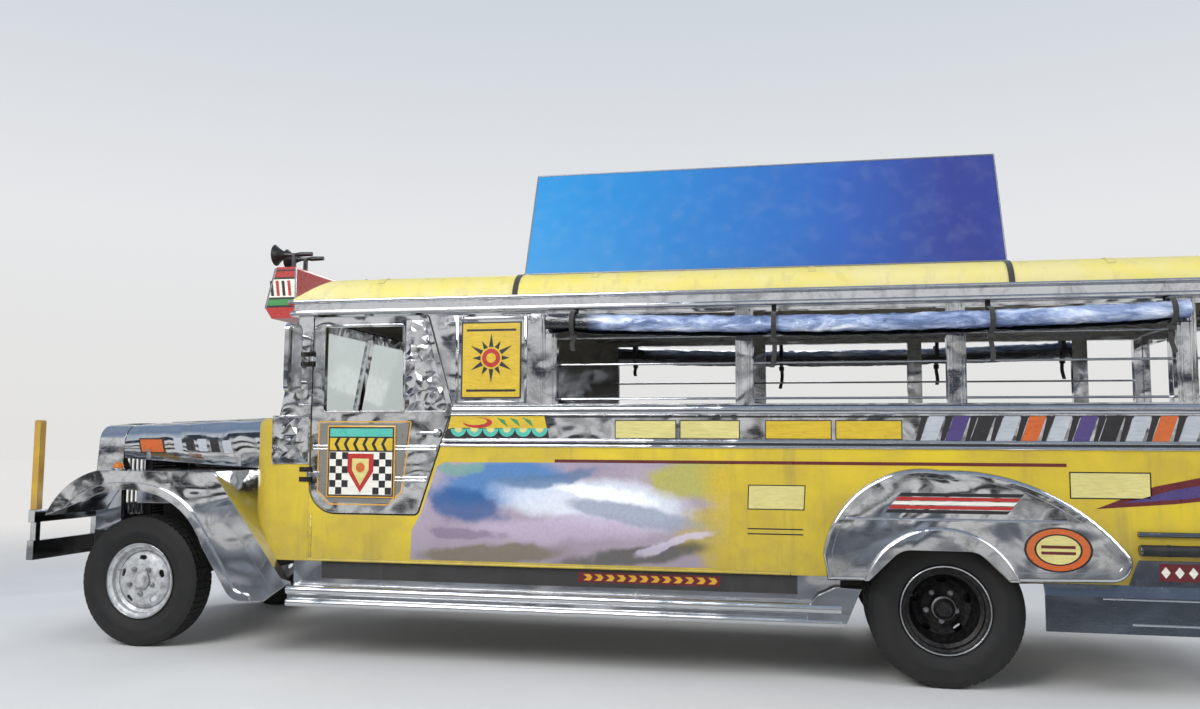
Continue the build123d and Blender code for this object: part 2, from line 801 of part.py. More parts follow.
def rear_frame():
    face = outline((-inner_y, floor_z), (-inner_y, header_z), (inner_y, header_z), (inner_y, floor_z))
    top = header_z - rear_head
    entrance = outline((-entrance_half, 0), (-entrance_half, top), (entrance_half, top), (entrance_half, 0))
    face -= rounded(entrance, entrance_corner, [(-entrance_half, top), (entrance_half, top)])
    for side in (1, -1):
        start, end = entrance_half + rear_window_inset, cant_inner_y - 10
        face -= outline((side * start, sill_z), (side * start, top), (side * end, top), (side * end, sill_z))
    wall = along_x(face, body_rear_x, body_rear_x + rear_wall)
    corner = block(body_rear_x, body_rear_x + rear_wall, cant_inner_y, body_y, belt_z, header_z)
    return wall - both_sides(corner)


# Hood and grille
hood_front_x = front_axle_x + 377
hood_gap = 8
hood_rear_half = 620
hood_front_half = 480
hood_rear_top_z = 1300
hood_front_top_z = 1262
hood_rear_low_z = 1008
hood_front_low_z = 1060
hood_crown = 22
hood_bulge = 14
hood_shoulder_y = 120
hood_shoulder_z = 75
hood_wall = 5
hood_rib_half = 26
hood_rib_height = 8
grille_depth = 190
grille_front_x = hood_front_x + hood_gap + grille_depth
grille_bottom_z = 620
grille_wall = 20
grille_edge = 14
grille_open_half = 215
grille_open_low_z = 690
grille_open_high_z = 1150
grille_bars = 9
grille_bar_radius = 8
grille_bead_radius = 9
lamp_radius = 95
lamp_y = 350
lamp_z = 975
lamp_wall = 9
lamp_depth = 70
lamp_lip = 14
lens_thickness = 8
lens_rise = 12
hood_hinge_y = 250
hood_hinge_width = 90
hood_hinge_x = cowl_x + hood_gap / 2
hood_barrel_radius = 10
hood_hinge_z = cowl_top_z + hood_crown + hood_barrel_radius
hinge_foot_length = 110


def hood_section(half, low_z, top_z, inset=0):
    """Low crown, rolled shoulders, and sides that bulge slightly."""
    half, top = half - inset, top_z - inset
    shoulder_y, shoulder_z = half - hood_shoulder_y, top - hood_shoulder_z
    middle_z = (low_z + shoulder_z) / 2
    edges = [ThreePointArc((shoulder_y, top), (0, top + hood_crown), (-shoulder_y, top)),
             Line((half, low_z), (-half, low_z))]
    for sign in (1, -1):
        bend = (sign * (half - 0.3 * hood_shoulder_y), top - 0.3 * hood_shoulder_z)
        edges.append(ThreePointArc((sign * half, low_z), (sign * (half + hood_bulge), middle_z),
                                   (sign * half, shoulder_z)))
        edges.append(ThreePointArc((sign * half, shoulder_z), bend, (sign * shoulder_y, top)))
    return make_face(edges)


def hood_form(inset, x_front, x_rear):
    """A loft from the cowl's width to the grille's."""
    stations = ((x_rear, hood_rear_half, hood_rear_low_z, hood_rear_top_z),
                (x_front, hood_front_half, hood_front_low_z, hood_front_top_z))
    sections = []
    for x, half, low, top in stations:
        sections.append(across(x) * hood_section(half, low - (1 if inset else 0), top, inset))
    return loft(sections, ruled=True)


def hood_ridge(rear_x):
    """A raised ridge down the middle of the lid, over its crown."""
    base = (hood_front_top_z + hood_rear_top_z) / 2
    profile = outline((rear_x, base), (rear_x, hood_rear_top_z + hood_crown + hood_rib_height),
                      (hood_front_x, hood_front_top_z + hood_crown + hood_rib_height), (hood_front_x, base))
    ridge = along_y(profile, -hood_rib_half, hood_rib_half)
    return ridge - hood_form(hood_wall, hood_front_x + 1, rear_x - 1)


def hood():
    rear_x = cowl_x + hood_gap
    lid = hood_form(0, hood_front_x, rear_x) - hood_form(hood_wall, hood_front_x, rear_x)
    lid += hood_ridge(rear_x)
    for y in (-hood_hinge_y, hood_hinge_y):
        low, high = y - hood_hinge_width / 6, y + hood_hinge_width / 6
        start, end = (hood_hinge_x, low, hood_hinge_z), (hood_hinge_x, high, hood_hinge_z)
        lid += block(hood_hinge_x, rear_x + leaf_length, low, high, hood_rear_top_z - hood_wall, hood_hinge_z)
        lid += rod(start, end, hood_barrel_radius)
        lid -= rod(start, end, pin_radius + running_clearance)
    return lid


def hood_hinges():
    hinges = []
    for y in (-hood_hinge_y, hood_hinge_y):
        hinge = rod((hood_hinge_x, y - hood_hinge_width / 2, hood_hinge_z),
                    (hood_hinge_x, y + hood_hinge_width / 2, hood_hinge_z), pin_radius)
        for side in (-1, 1):
            low = y + side * (hood_hinge_width / 6 + 1)
            high = y + side * hood_hinge_width / 2
            hinge += rod((hood_hinge_x, low, hood_hinge_z), (hood_hinge_x, high, hood_hinge_z),
                         hood_barrel_radius)
            hinge += block(cowl_x - hinge_foot_length, hood_hinge_x, low, high, cowl_top_z, hood_hinge_z)
        hinges.append(hinge)
    return hinges


def grille():
    """The radiator shell: the hood's front section carried down to the bumper, with upright bars."""
    rear_x = hood_front_x + hood_gap
    section = hood_section(hood_front_half, grille_bottom_z, hood_front_top_z)
    nose = hood_section(hood_front_half, grille_bottom_z + grille_edge, hood_front_top_z, grille_edge)
    brow_x = grille_front_x - grille_edge
    shell = along_x(section, rear_x, brow_x)
    shell += loft([across(brow_x) * section, across(grille_front_x) * nose], ruled=True)
    hollow_front = grille_front_x - grille_wall
    shell -= along_x(hood_section(hood_front_half, grille_bottom_z + grille_wall, hood_front_top_z,
                                  grille_wall),
                     rear_x, hollow_front)
    height = grille_open_high_z - grille_open_low_z
    middle = (grille_open_low_z + grille_open_high_z) / 2
    opening = Pos(0, middle) * RectangleRounded(2 * grille_open_half, height, 3 * grille_wall)
    shell -= along_x(opening, hollow_front, grille_front_x)
    surround = offset(opening, 2 * grille_bead_radius) - opening
    shell += along_x(surround, grille_front_x, grille_front_x + grille_bead_radius)
    pitch = 2 * grille_open_half / (grille_bars + 1)
    bar_x = grille_front_x - grille_wall / 2
    for index in range(grille_bars):
        y = (index + 1) * pitch - grille_open_half
        shell += rod((bar_x, y, grille_open_low_z - 1), (bar_x, y, grille_open_high_z + 1), grille_bar_radius)
    for y in (-lamp_y, lamp_y):
        shell -= along_x(Pos(y, lamp_z) * Circle(lamp_radius), hollow_front, grille_front_x)
    return shell


def headlamps():
    """A bowl in each side of the shell, with a bezel that stands proud."""
    lamps = []
    for y in (-lamp_y, lamp_y):
        centre = Pos(y, lamp_z)
        bowl = along_x(centre * Circle(lamp_radius - seat_gap), grille_front_x - lamp_depth,
                       grille_front_x + lamp_lip)
        bezel = centre * Circle(lamp_radius + lamp_wall)
        bowl += along_x(bezel, grille_front_x + seat_gap, grille_front_x + lamp_lip)
        bowl = fillet(bowl.faces().sort_by(Axis.X)[-1].edges(), lamp_wall / 2)
        bowl -= along_x(centre * Circle(lamp_radius - lamp_wall), grille_front_x - lamp_depth + 2 * lamp_wall,
                        grille_front_x + lamp_lip)
        lamps.append(bowl)
    return Compound(children=lamps)


def headlamp_glass():
    """A shallow domed lens in each bezel."""
    lenses = []
    back = grille_front_x + 2
    front = back + lens_thickness / 2 + lens_rise
    radius = lamp_radius - lamp_wall - seat_gap
    curve = (radius ** 2 + lens_rise ** 2) / (2 * lens_rise)
    for y in (-lamp_y, lamp_y):
        lens = along_x(Pos(y, lamp_z) * Circle(radius), back, front)
        lenses.append(lens & (Pos(front - curve, y, lamp_z) * Sphere(curve)))
    return Compound(children=lenses)


# Front fenders: a flat top, a long slope down to the running board, a raised band along both over a set-back
# skirt, and a broad rolled bead round the opening. Points are offsets from the front axle, and heights.
fender_inner_y = 500
fender_top_z = 1000
fender_tip = (490, 745)
fender_nose = (365, 905)
fender_flat_front = 170
fender_flat_rear = -554
fender_foot = -1006
fender_foot_run = 130
fender_band = 80
fender_recess = 8
fender_bead = 42
fender_bead_rise = 5
apron_bottom_z = 790
board_height = 112
skirt_hem_z = board_top_z - board_height + 20
arch_front = (265, 825)
arch_brow = (90, 885)
arch_crest = (-109, 889)
arch_haunch = (-360, 790)
arch_shoulder = (-500, 600)
arch_shin = (-653, 364)
arch_instep = (-697, 322)
arch_toe = (-760, skirt_hem_z)


def fender_point(point):
    return (front_axle_x + point[0], point[1])


def fender_roofline():
    """Nose curve, flat top and slope, as joined edges."""
    return [ThreePointArc(fender_point(fender_tip), fender_point(fender_nose),
                          fender_point((fender_flat_front, fender_top_z))),
            Line(fender_point((fender_flat_front, fender_top_z)),
                 fender_point((fender_flat_rear, fender_top_z))),
            Line(fender_point((fender_flat_rear, fender_top_z)), fender_point((fender_foot, board_top_z)))]


def fender_arch():
    """The wheel opening: over the crest, down the rear in a reverse curve, and out to the board."""
    return [ThreePointArc(fender_point(arch_front), fender_point(arch_brow), fender_point(arch_crest)),
            ThreePointArc(fender_point(arch_crest), fender_point(arch_haunch), fender_point(arch_shoulder)),
            Line(fender_point(arch_shoulder), fender_point(arch_shin)),
            ThreePointArc(fender_point(arch_shin), fender_point(arch_instep), fender_point(arch_toe))]


def fender_skirt():
    foot = (fender_foot + fender_foot_run, skirt_hem_z)
    closing = [Line(fender_point((fender_foot, board_top_z)), fender_point(foot)),
               Line(fender_point(foot), fender_point(arch_toe)),
               Line(fender_point(arch_front), fender_point(fender_tip))]
    return make_face(fender_roofline() + fender_arch() + closing)


def under_roofline():
    """Everything under the fender's roofline, down below the hem."""
    low = skirt_hem_z - fender_band
    corners = [Line(fender_point((fender_foot, board_top_z)), fender_point((fender_foot, low))),
               Line(fender_point((fender_foot, low)), fender_point((fender_tip[0], low))),
               Line(fender_point((fender_tip[0], low)), fender_point(fender_tip))]
    return make_face(fender_roofline() + corners)


def arch_hole():
    """The open shape under the arch, closed far below."""
    corners = [Line(fender_point(arch_toe), fender_point((arch_toe[0], 0))),
               Line(fender_point((arch_toe[0], 0)), fender_point((arch_front[0], 0))),
               Line(fender_point((arch_front[0], 0)), fender_point(arch_front))]
    return make_face(fender_arch() + corners)


def front_fender():
    skirt = fender_skirt()
    face_y = board_y - fender_recess
    under = under_roofline()
    band = skirt - offset(under, -fender_band)
    bead = offset(arch_hole(), fender_bead) & skirt
    fender = along_y(skirt, face_y - sheet, face_y)
    fender += along_y(band, face_y, board_y)
    fender += along_y(bead, face_y, board_y + fender_bead_rise)
    cover = along_y(under - offset(under, -sheet), fender_inner_y, board_y - 1)
    rear, front = fender_point((fender_foot - sheet, 0))[0], fender_point((fender_tip[0] + sheet, 0))[0]
    cover -= block(rear, front, 0, board_y, 0, skirt_hem_z)
    cover -= block(front_axle_x + arch_front[0], front, 0, board_y, 0, fender_tip[1] - 1)
    cover -= block(rear, front_axle_x + fender_foot + 2 * sheet, 0, board_y, 0, board_top_z)
    apron = block(front_axle_x + arch_shoulder[0], front_axle_x + arch_front[0], fender_inner_y,
                  fender_inner_y + sheet, apron_bottom_z, fender_top_z - sheet)
    return fender + cover + apron - along_z(offset(cowl_plan(), seat_gap), 0, cowl_top_z)


# Front bumper: two chromed beams between end plates, with tow lugs and a square post on each end
bumper_depth = 50
bumper_y = 950
bumper_bottom_z = 483
bumper_top_z = 767
bumper_low_height = 110
bumper_high_height = 70
bumper_end = 50
bumper_edge = 14
lug_y = 410
lug_thickness = 20
lug_height = 60
lug_hole_inset = 15
lug_hole_radius = 11
post_side = 42
post_inset = 4
post_top_z = 1285
post_cap = 6


def front_bumper():
    back = rail_front_x
    face = back + bumper_depth
    shape = Part()
    for low, height in ((bumper_bottom_z, bumper_low_height), (bumper_top_z - bumper_high_height,
                                                               bumper_high_height)):
        beam = block(back, face, -bumper_y, bumper_y, low, low + height)
        shape += fillet(beam.faces().sort_by(Axis.X)[-1].edges(), bumper_edge)
    end = block(back, face - bumper_edge, bumper_y - bumper_end, bumper_y - bumper_edge, bumper_bottom_z,
                bumper_top_z)
    stay = block(back, face - bumper_edge, lug_y - bumper_end / 2, lug_y + bumper_end / 2, bumper_bottom_z,
                 bumper_top_z)
    lug_z = bumper_bottom_z + bumper_low_height / 2
    lug = block(face, nose_x, lug_y - lug_thickness / 2, lug_y + lug_thickness / 2,
                lug_z - lug_height / 2, lug_z + lug_height / 2)
    hole_x = nose_x - lug_hole_inset
    hole = rod((hole_x, lug_y - lug_thickness / 2, lug_z), (hole_x, lug_y + lug_thickness / 2, lug_z),
               lug_hole_radius)
    return (shape + both_sides(end) + both_sides(stay) + both_sides(lug)) - both_sides(hole)


def marker_posts():
    middle_x = rail_front_x + bumper_depth / 2
    outer = bumper_y - post_inset - bumper_edge
    post = block(middle_x - post_side / 2, middle_x + post_side / 2, outer - post_side, outer, bumper_top_z,
                 post_top_z)
    post = chamfer(post.faces().sort_by(Axis.Z)[-1].edges(), post_cap)
    return Compound(children=both_sides(post))


# Running boards: a riser up to the body, a tread, and two rolled edges with a groove between them
board_front_x = front_axle_x + fender_foot
board_rear_x = rear_axle_x + 495
upper_roll_radius = 24
lower_roll_radius = 22
board_web = 8
kick_height = 82
kick_front_x = board_rear_x + 160
kick_tip_x = board_rear_x - 95
kick_lead = 50
board_stays = 4
board_stay_half = 20
board_stay_inset = 150
board_bottom_z = board_top_z - board_height


def board_section():
    upper_z = board_top_z - upper_roll_radius
    lower_z = board_bottom_z + lower_roll_radius
    web_y = board_y - upper_roll_radius
    face = Pos(web_y, upper_z) * Circle(upper_roll_radius) + Pos(web_y, lower_z) * Circle(lower_roll_radius)
    face += outline((web_y - board_web, lower_z), (web_y, lower_z), (web_y, upper_z),
                    (web_y - board_web, upper_z))
    face += outline((inner_y, board_top_z - sheet), (web_y, board_top_z - sheet), (web_y, board_top_z),
                    (inner_y, board_top_z))
    return face + outline((inner_y, board_top_z - sheet), (inner_y + sheet, board_top_z - sheet),
                          (inner_y + sheet, body_bottom_z), (inner_y, body_bottom_z))


def board_kick():
    """The end plate that sweeps up to meet the rear fender."""
    low = board_bottom_z + lower_roll_radius
    plate = outline((kick_front_x, board_top_z - upper_roll_radius),
                    (kick_front_x - kick_lead, board_top_z + kick_height / 2),
                    (board_rear_x + kick_lead / 2, board_top_z + kick_height), (kick_tip_x,
                                                                                board_top_z + kick_height - sheet),
                    (board_rear_x - kick_lead / 2, low), (kick_front_x, low))
    web_y = board_y - upper_roll_radius
    return along_y(plate, web_y - board_web, board_y - sheet)


def running_board():
    board = along_x(board_section(), board_rear_x, board_front_x - seat_gap) + board_kick()
    pitch = (board_front_x - board_rear_x - 2 * board_stay_inset) / (board_stays - 1)
    for index in range(board_stays):
        x = board_rear_x + board_stay_inset + index * pitch
        board += block(x - board_stay_half, x + board_stay_half, frame_outer_y, inner_y, frame_bottom_z,
                       body_bottom_z)
    return board


# Rear fenders: a bubble with a rolled rim, a crease across its face, and a flared crescent over the arch.
# Points are offsets from the rear axle, and heights.
bubble_y = 985
bubble_edge = 20
bubble_front_reach = 235
bubble_front = (578, 640)
bubble_brow = (440, 915)
bubble_top = (20, 1047)
bubble_back = (-535, 905)
bubble_tail = (-805, 660)
bubble_tuck = (-795, 580)
bubble_heel = (-720, 538)
bubble_hem_z = 512
bubble_rim = 44
bubble_recess = 6
crease_z = 812
crease_radius = 5
crease_inset = 90
flare_centre = (30, 404)
flare_radius = 372
flare_edge = 12


def rear_point(point):
    return (rear_axle_x + point[0], point[1])


def bubble_outline():
    low_front = (bubble_front[0] - bubble_rim / 2, bubble_hem_z)
    edges = [ThreePointArc(rear_point(bubble_front), rear_point(bubble_brow), rear_point(bubble_top)),
             ThreePointArc(rear_point(bubble_top), rear_point(bubble_back), rear_point(bubble_tail)),
             ThreePointArc(rear_point(bubble_tail), rear_point(bubble_tuck), rear_point(bubble_heel)),
             Line(rear_point(bubble_heel), rear_point(low_front)),
             Line(rear_point(low_front), rear_point(bubble_front))]
    return make_face(edges)


def rear_fender():
    shape = bubble_outline()
    bubble = along_y(shape, body_y, bubble_y)
    rim = [e for e in bubble.faces().sort_by(Axis.Y)[-1].edges() if e.center().Z > bubble_hem_z + 1]
    bubble = fillet(rim, bubble_edge)
    field = offset(shape, -bubble_rim)
    bubble -= along_y(field, bubble_y - bubble_recess, bubble_y)
    front, rear = rear_axle_x + bubble_front[0] - crease_inset, rear_axle_x + bubble_heel[0] + 2 * crease_inset
    face_y = bubble_y - bubble_recess
    bubble += rod((rear, face_y, crease_z), (front, face_y, crease_z), crease_radius)
    flare = (Pos(*rear_point(flare_centre)) * Circle(flare_radius)) & shape
    crescent = along_y(flare, body_y, board_y)
    lip = [e for e in crescent.faces().sort_by(Axis.Y)[-1].edges() if e.center().Z > bubble_hem_z + 1]
    bubble += fillet(lip, flare_edge)
    return bubble - along_y(arch_profile(), body_y, board_y)


# Lower quarter behind the rear wheel: a skirt under the body, a bright plate, and two rails
skirt_front_x = rear_axle_x - 431
skirt_bottom_z = 307
skirt_top_z = 473
skirt_y = body_y + 25
skirt_strip_lead = 200
skirt_strip = (344, 368)
rub_bar_radius = 24
rub_tube_radius = 12
rub_front_x = rear_axle_x - 845
quarter_plate_top_z = 640


def rear_skirt():
    section = outline((inner_y, body_bottom_z), (body_y, body_bottom_z), (skirt_y, skirt_top_z),
                      (skirt_y, skirt_bottom_z),
                      (skirt_y - sheet, skirt_bottom_z), (skirt_y - sheet, skirt_top_z - sheet / 2),
                      (body_y - sheet / 2, body_bottom_z - sheet), (inner_y, body_bottom_z - sheet))
    skirt = along_x(section, body_rear_x, skirt_front_x)
    strip = block(body_rear_x, skirt_front_x - skirt_strip_lead, skirt_y, skirt_y + sheet, *skirt_strip)
    plate = outline((rub_front_x, quarter_plate_top_z), (rub_front_x + bubble_rim, body_bottom_z),
                    (body_rear_x, body_bottom_z), (body_rear_x, quarter_plate_top_z))
    return skirt + strip + along_y(plate, body_y, body_y + apron_thickness)


def rub_rails():
    rails = []
    for z, radius in ((quarter_plate_top_z + 2 * rub_bar_radius, rub_bar_radius),
                      (quarter_plate_top_z + 5 * rub_bar_radius, rub_tube_radius)):
        y = body_y + radius
        rails += both_sides(rod((rub_front_x, y, z), (body_rear_x, y, z), radius))
    return rails


# Rear bumper, step and lamps
rear_bumper_drop = 20
bumper_plate_half = 40
step_setback = 50
step_z = 430
step_thickness = 12
step_edge = 10
tail_lamp_y = 800
tail_lamp_zs = (820, 940)
tail_lamp_radius = 45
tail_lamp_depth = 30
rail_standoff = 60
rail_inset = 50
rail_foot = 40
rail_low_z = 760
rail_high_z = 1720
rail_radius = 14


def rear_bumper():
    low = frame_bottom_z - rear_bumper_drop
    shape = block(tail_x, rail_rear_x, -bumper_y, bumper_y, low, frame_top_z)
    hollow = block(tail_x + sheet, rail_rear_x, sheet - bumper_y, bumper_y - sheet, low + sheet,
                   frame_top_z - sheet)
    plates = []
    for y in (-lug_y, lug_y):
        plates.append(block(rail_rear_x - sheet, rail_rear_x, y - bumper_plate_half, y + bumper_plate_half,
                            low, frame_top_z))
    return shape - hollow + plates


def rear_step():
    front = body_rear_x - step_setback
    shape = block(rail_rear_x, front, -frame_inner_y, frame_inner_y, step_z, step_z + step_thickness)
    side = block(rail_rear_x, front, frame_inner_y - step_edge, frame_inner_y, step_z,
                 frame_top_z - rear_bumper_drop)
    return shape + both_sides(side)


def tail_lamps():
    lamps = []
    for z in tail_lamp_zs:
        lamp = Pos(body_rear_x - tail_lamp_depth / 2, tail_lamp_y, z) * Rot(0, 90,
                                                                            0) * Cylinder(tail_lamp_radius,
                                                                                          tail_lamp_depth)
        lamps += both_sides(fillet(lamp.faces().sort_by(Axis.X)[0].edges(), tail_lamp_depth / 4))
    return Compound(children=lamps)


def grab_rails():
    """A hand rail on each side of the rear entrance."""
    y, x = entrance_half + rail_inset, body_rear_x - rail_standoff
    rail = rod((x, y, rail_low_z), (x, y, rail_high_z), rail_radius)
    for z in (rail_low_z + rail_foot, rail_high_z - rail_foot):
        rail += rod((x, y, z), (body_rear_x, y, z), rail_radius - 2)
    return both_sides(rail)


# Cab: dashboard, steering wheel and seats
wheel_ring_radius = 200
wheel_ring_section = 12
wheel_y = 400
wheel_z = 1130
wheel_x = front_axle_x - 1330
column_foot_z = 760
column_radius = 18
wheel_hub_radius = 32
spoke_width = 16
spoke_depth = 10
dash_depth = 100
dash_bottom_z = 1080
dash_edge = 18


def dashboard():
    half = body_y - cowl_wall
    board = block(door_front_x, door_front_x + dash_depth, -half, half, dash_bottom_z, cowl_top_z - cowl_wall)
    hood_edge = board.edges().filter_by(Axis.Y).group_by(Axis.X)[0]
    return fillet(hood_edge, dash_edge)


def steering_wheel():
    """Ring, hub, three spokes and the column down to the cowl's wall."""
    centre = Vector(wheel_x, wheel_y, wheel_z)
    toe = Vector(cowl_x, wheel_y, column_foot_z)
    plane = Plane(origin=centre, z_dir=centre - toe)
    shape = plane * Torus(wheel_ring_radius, wheel_ring_section)
    shape += plane * Cylinder(wheel_hub_radius, 4 * spoke_depth)
    shape += rod(tuple(centre), tuple(toe), column_radius)
    for angle in (90, 210, 330):
        spoke = Pos(wheel_ring_radius / 2, 0, 0) * Box(wheel_ring_radius, spoke_width, spoke_depth)
        shape += plane * (Rot(0, 0, angle) * spoke)
    return shape - block(cowl_x - cowl_wall, nose_x, 0, body_y, floor_z, cowl_top_z)


seat_rear_x = front_axle_x - 2000
seat_length = 480
seat_inner_y = 90
seat_outer_y = 760
seat_base_z = 880
seat_rail = 30
seat_plate = 20
cushion_thickness = 110
cushion_edge = 22
seat_back_thickness = 100
seat_back_z = 1460


def seat_frames():
    front = seat_rear_x + seat_length
    base = block(seat_rear_x, front, seat_inner_y, seat_outer_y, floor_z, seat_base_z)
    base -= block(seat_rear_x + seat_rail, front - seat_rail, seat_inner_y, seat_outer_y, floor_z,
                  seat_base_z - seat_rail)
    back = block(seat_rear_x - seat_plate, seat_rear_x, seat_inner_y, seat_outer_y, floor_z, seat_back_z)
    return Compound(children=both_sides(base + back))


def seat_cushions():
    pads = []
    low = seat_base_z + seat_gap
    back_front = seat_rear_x + seat_back_thickness
    cushion = block(back_front + seat_gap, seat_rear_x + seat_length, seat_inner_y, seat_outer_y, low,
                    low + cushion_thickness)
    back = block(seat_rear_x + seat_gap, back_front, seat_inner_y, seat_outer_y, low, seat_back_z)
    for pad in (cushion, back):
        pads += both_sides(fillet(pad.edges(), cushion_edge))
    return Compound(children=pads)


# Passenger benches along both sides
bench_front_x = seat_rear_x - 110
bench_rear_x = body_rear_x + rear_wall
bench_inner_y = 500
bench_z = 960
bench_plate = 18
bench_lip = 40
bench_pad_thickness = 75
back_rest_thickness = 50
back_rest_drop = 5
bench_edge = 15
gusset_half = 15
gusset_inset = 120
bench_gussets = 5


def bench_frame():
    """A shelf on gussets, with a turned-down lip along the aisle."""
    shape = block(bench_rear_x, bench_front_x, bench_inner_y, inner_y, bench_z - bench_plate, bench_z)
    shape += block(bench_rear_x, bench_front_x, bench_inner_y, bench_inner_y + sheet, bench_z - bench_lip,
                   bench_z)
    pitch = (bench_front_x - bench_rear_x - 2 * gusset_inset) / (bench_gussets - 1)
    for index in range(bench_gussets):
        x = bench_rear_x + gusset_inset + index * pitch
        shape += block(x - gusset_half, x + gusset_half, bench_inner_y + bench_lip, inner_y, floor_z, bench_z)
    return shape - wheel_box(wheel_box_wall)


def bench_pads():
    rear = bench_rear_x + seat_gap
    low = bench_z + seat_gap
    cushion = block(rear, bench_front_x, bench_inner_y, inner_y - back_rest_thickness - seat_gap, low,
                    bench_z + bench_pad_thickness)
    rest = block(rear, bench_front_x, inner_y - back_rest_thickness, inner_y - seat_gap, low,
                 belt_z - back_rest_drop)
    pads = []
    for pad in (cushion, rest):
        pads += both_sides(fillet(pad.edges().filter_by(Axis.X), bench_edge))
    return Compound(children=pads)


ceiling_rail_y = 350
ceiling_rail_drop = 10
hanger_radius = 9
hanger_setback = 190
hangers = 4


def ceiling_rails():
    """Two long hand rails under the roof, each on four hangers."""
    z = eaves_z - ceiling_rail_drop
    front, rear = bench_front_x - hanger_setback / 2, body_rear_x + hanger_setback
    rail = rod((front, ceiling_rail_y, z), (rear, ceiling_rail_y, z), rail_radius)
    pitch = (front - rear - hanger_setback) / (hangers - 1)
    for index in range(hangers):
        x = rear + hanger_setback / 2 + index * pitch
        hanger = rod((x, ceiling_rail_y, z), (x, ceiling_rail_y, roof_top_z), hanger_radius)
        rail += hanger & roof_solid(roof_wall)
    return both_sides(rail)


# Headboard and horns over the windscreen
headboard_half = 800
headboard_back_x = front_axle_x - 910
headboard_depth = 190
headboard_low_z = 1868
headboard_high_z = 2165
headboard_slope = 60
headboard_edge = 16
bracket_half = 40
bracket_low = 30
bracket_high = 60
horn_length = 230
horn_radius = 62
horn_throat = 12
horn_flare = 26
horn_ys = (560, 700)
horn_rise = 90
horn_post = 10


def headboard():
    """A box with a raked front, on brackets out from the cant rail."""
    front = headboard_back_x + headboard_depth
    face = outline((headboard_back_x, headboard_low_z), (headboard_back_x, headboard_high_z),
                   (front - headboard_slope, headboard_high_z), (front, headboard_low_z + headboard_slope),
                   (front - bracket_half, headboard_low_z))
    shape = along_y(face, -headboard_half, headboard_half)
    shape = fillet(shape.faces().sort_by(Axis.Z)[-1].edges().filter_by(Axis.Y), headboard_edge)
    band_x = cant_front_x + cant_steps[1][2]
    for y in (-headboard_half / 2, 0, headboard_half / 2):
        shape += block(band_x, headboard_back_x, y - bracket_half, y + bracket_half,
                       header_z + bracket_low, header_z + bracket_high)
    return shape


def roof_horns():
    """Flared trumpets on short posts, two to a side."""
    horns = []
    z = headboard_high_z + horn_rise
    x = headboard_back_x + headboard_depth
    flare = ThreePointArc((0, horn_radius), (-horn_length / 5, horn_flare),
                          (-horn_length * 2 / 3, horn_throat + 2))
    tail = [Line(flare @ 1, (-horn_length, horn_throat)), Line((-horn_length, horn_throat),
                                                               (-horn_length, 0)),
            Line((-horn_length, 0), (0, 0)), Line((0, 0), flare @ 0)]
    for y in horn_ys:
        plane = Plane(origin=(x, y, z), x_dir=(1, 0, 0), z_dir=(0, -1, 0))
        horn = revolve(plane * make_face([flare] + tail), Axis((x, y, z), (1, 0, 0)))
        post_x = x - horn_length / 2
        horn += block(post_x - horn_post, post_x + horn_post, y - horn_post, y + horn_post, headboard_high_z,
                      z)
        horns += both_sides(horn)
    return Compound(children=horns)


# Mirrors on the windscreen pillars
mirror_x = front_axle_x - 1040
mirror_inner_y = 1000
mirror_width = 150
mirror_depth = 25
mirror_corner = 35
mirror_low_z = 1430
mirror_height = 370
mirror_arm_inset = 60
mirror_arm_radius = 8


def mirror_set():
    head = block(mirror_x - mirror_depth, mirror_x, mirror_inner_y, mirror_inner_y + mirror_width,
                 mirror_low_z,
                 mirror_low_z + mirror_height)
    head = fillet(head.edges().filter_by(Axis.X), mirror_corner)
    arm_x = mirror_x - mirror_depth / 2
    for z in (mirror_low_z + mirror_arm_inset, mirror_low_z + mirror_height - mirror_arm_inset):
        head += rod((arm_x, body_y, z), (arm_x, mirror_inner_y + mirror_corner, z), mirror_arm_radius)
    return Compound(children=both_sides(head))


# Roof sign: two leaning boards on a ribbed frame, strapped over the roof's edge
sign_front_x = front_axle_x - 2190
sign_length = 2600
sign_low = (536, 2122)
sign_high = (266, 2765)
sign_board = 14
sign_rib = 30
sign_ribs = 3
sign_rail_width = 60
strap_width = 28
strap_thickness = 4
strap_inset = 60


def sign_frame():
    """Ring-shaped ribs between the boards, on two rails that lie along the roof."""
    frame = Part()
    face = outline((-sign_low[0], sign_low[1]), (-sign_high[0], sign_high[1]), sign_high, sign_low)
    face -= offset(face, -sign_rib)
    pitch = (sign_length - sign_rib) / (sign_ribs - 1)
    for index in range(sign_ribs):
        x = sign_front_x - index * pitch
        frame += along_x(face, x - sign_rib, x)
    rail = block(sign_front_x - sign_length, sign_front_x, sign_low[0] - sign_rail_width, sign_low[0],
                 roof_shoulder_z, sign_low[1])
    return frame + both_sides(rail - roof_solid())


def sign_boards():
    run, rise = sign_low[0] - sign_high[0], sign_high[1] - sign_low[1]
    length = hypot(run, rise)
    out = (rise / length * sign_board, run / length * sign_board)
    gap = (rise / length * seat_gap, run / length * seat_gap)
    low = (sign_low[0] + gap[0], sign_low[1] + gap[1])
    high = (sign_high[0] + gap[0], sign_high[1] + gap[1])
    face = outline(low, high, (high[0] + out[0], high[1] + out[1]), (low[0] + out[0], low[1] + out[1]))
    return Compound(children=both_sides(along_x(face, sign_front_x - sign_length, sign_front_x)))


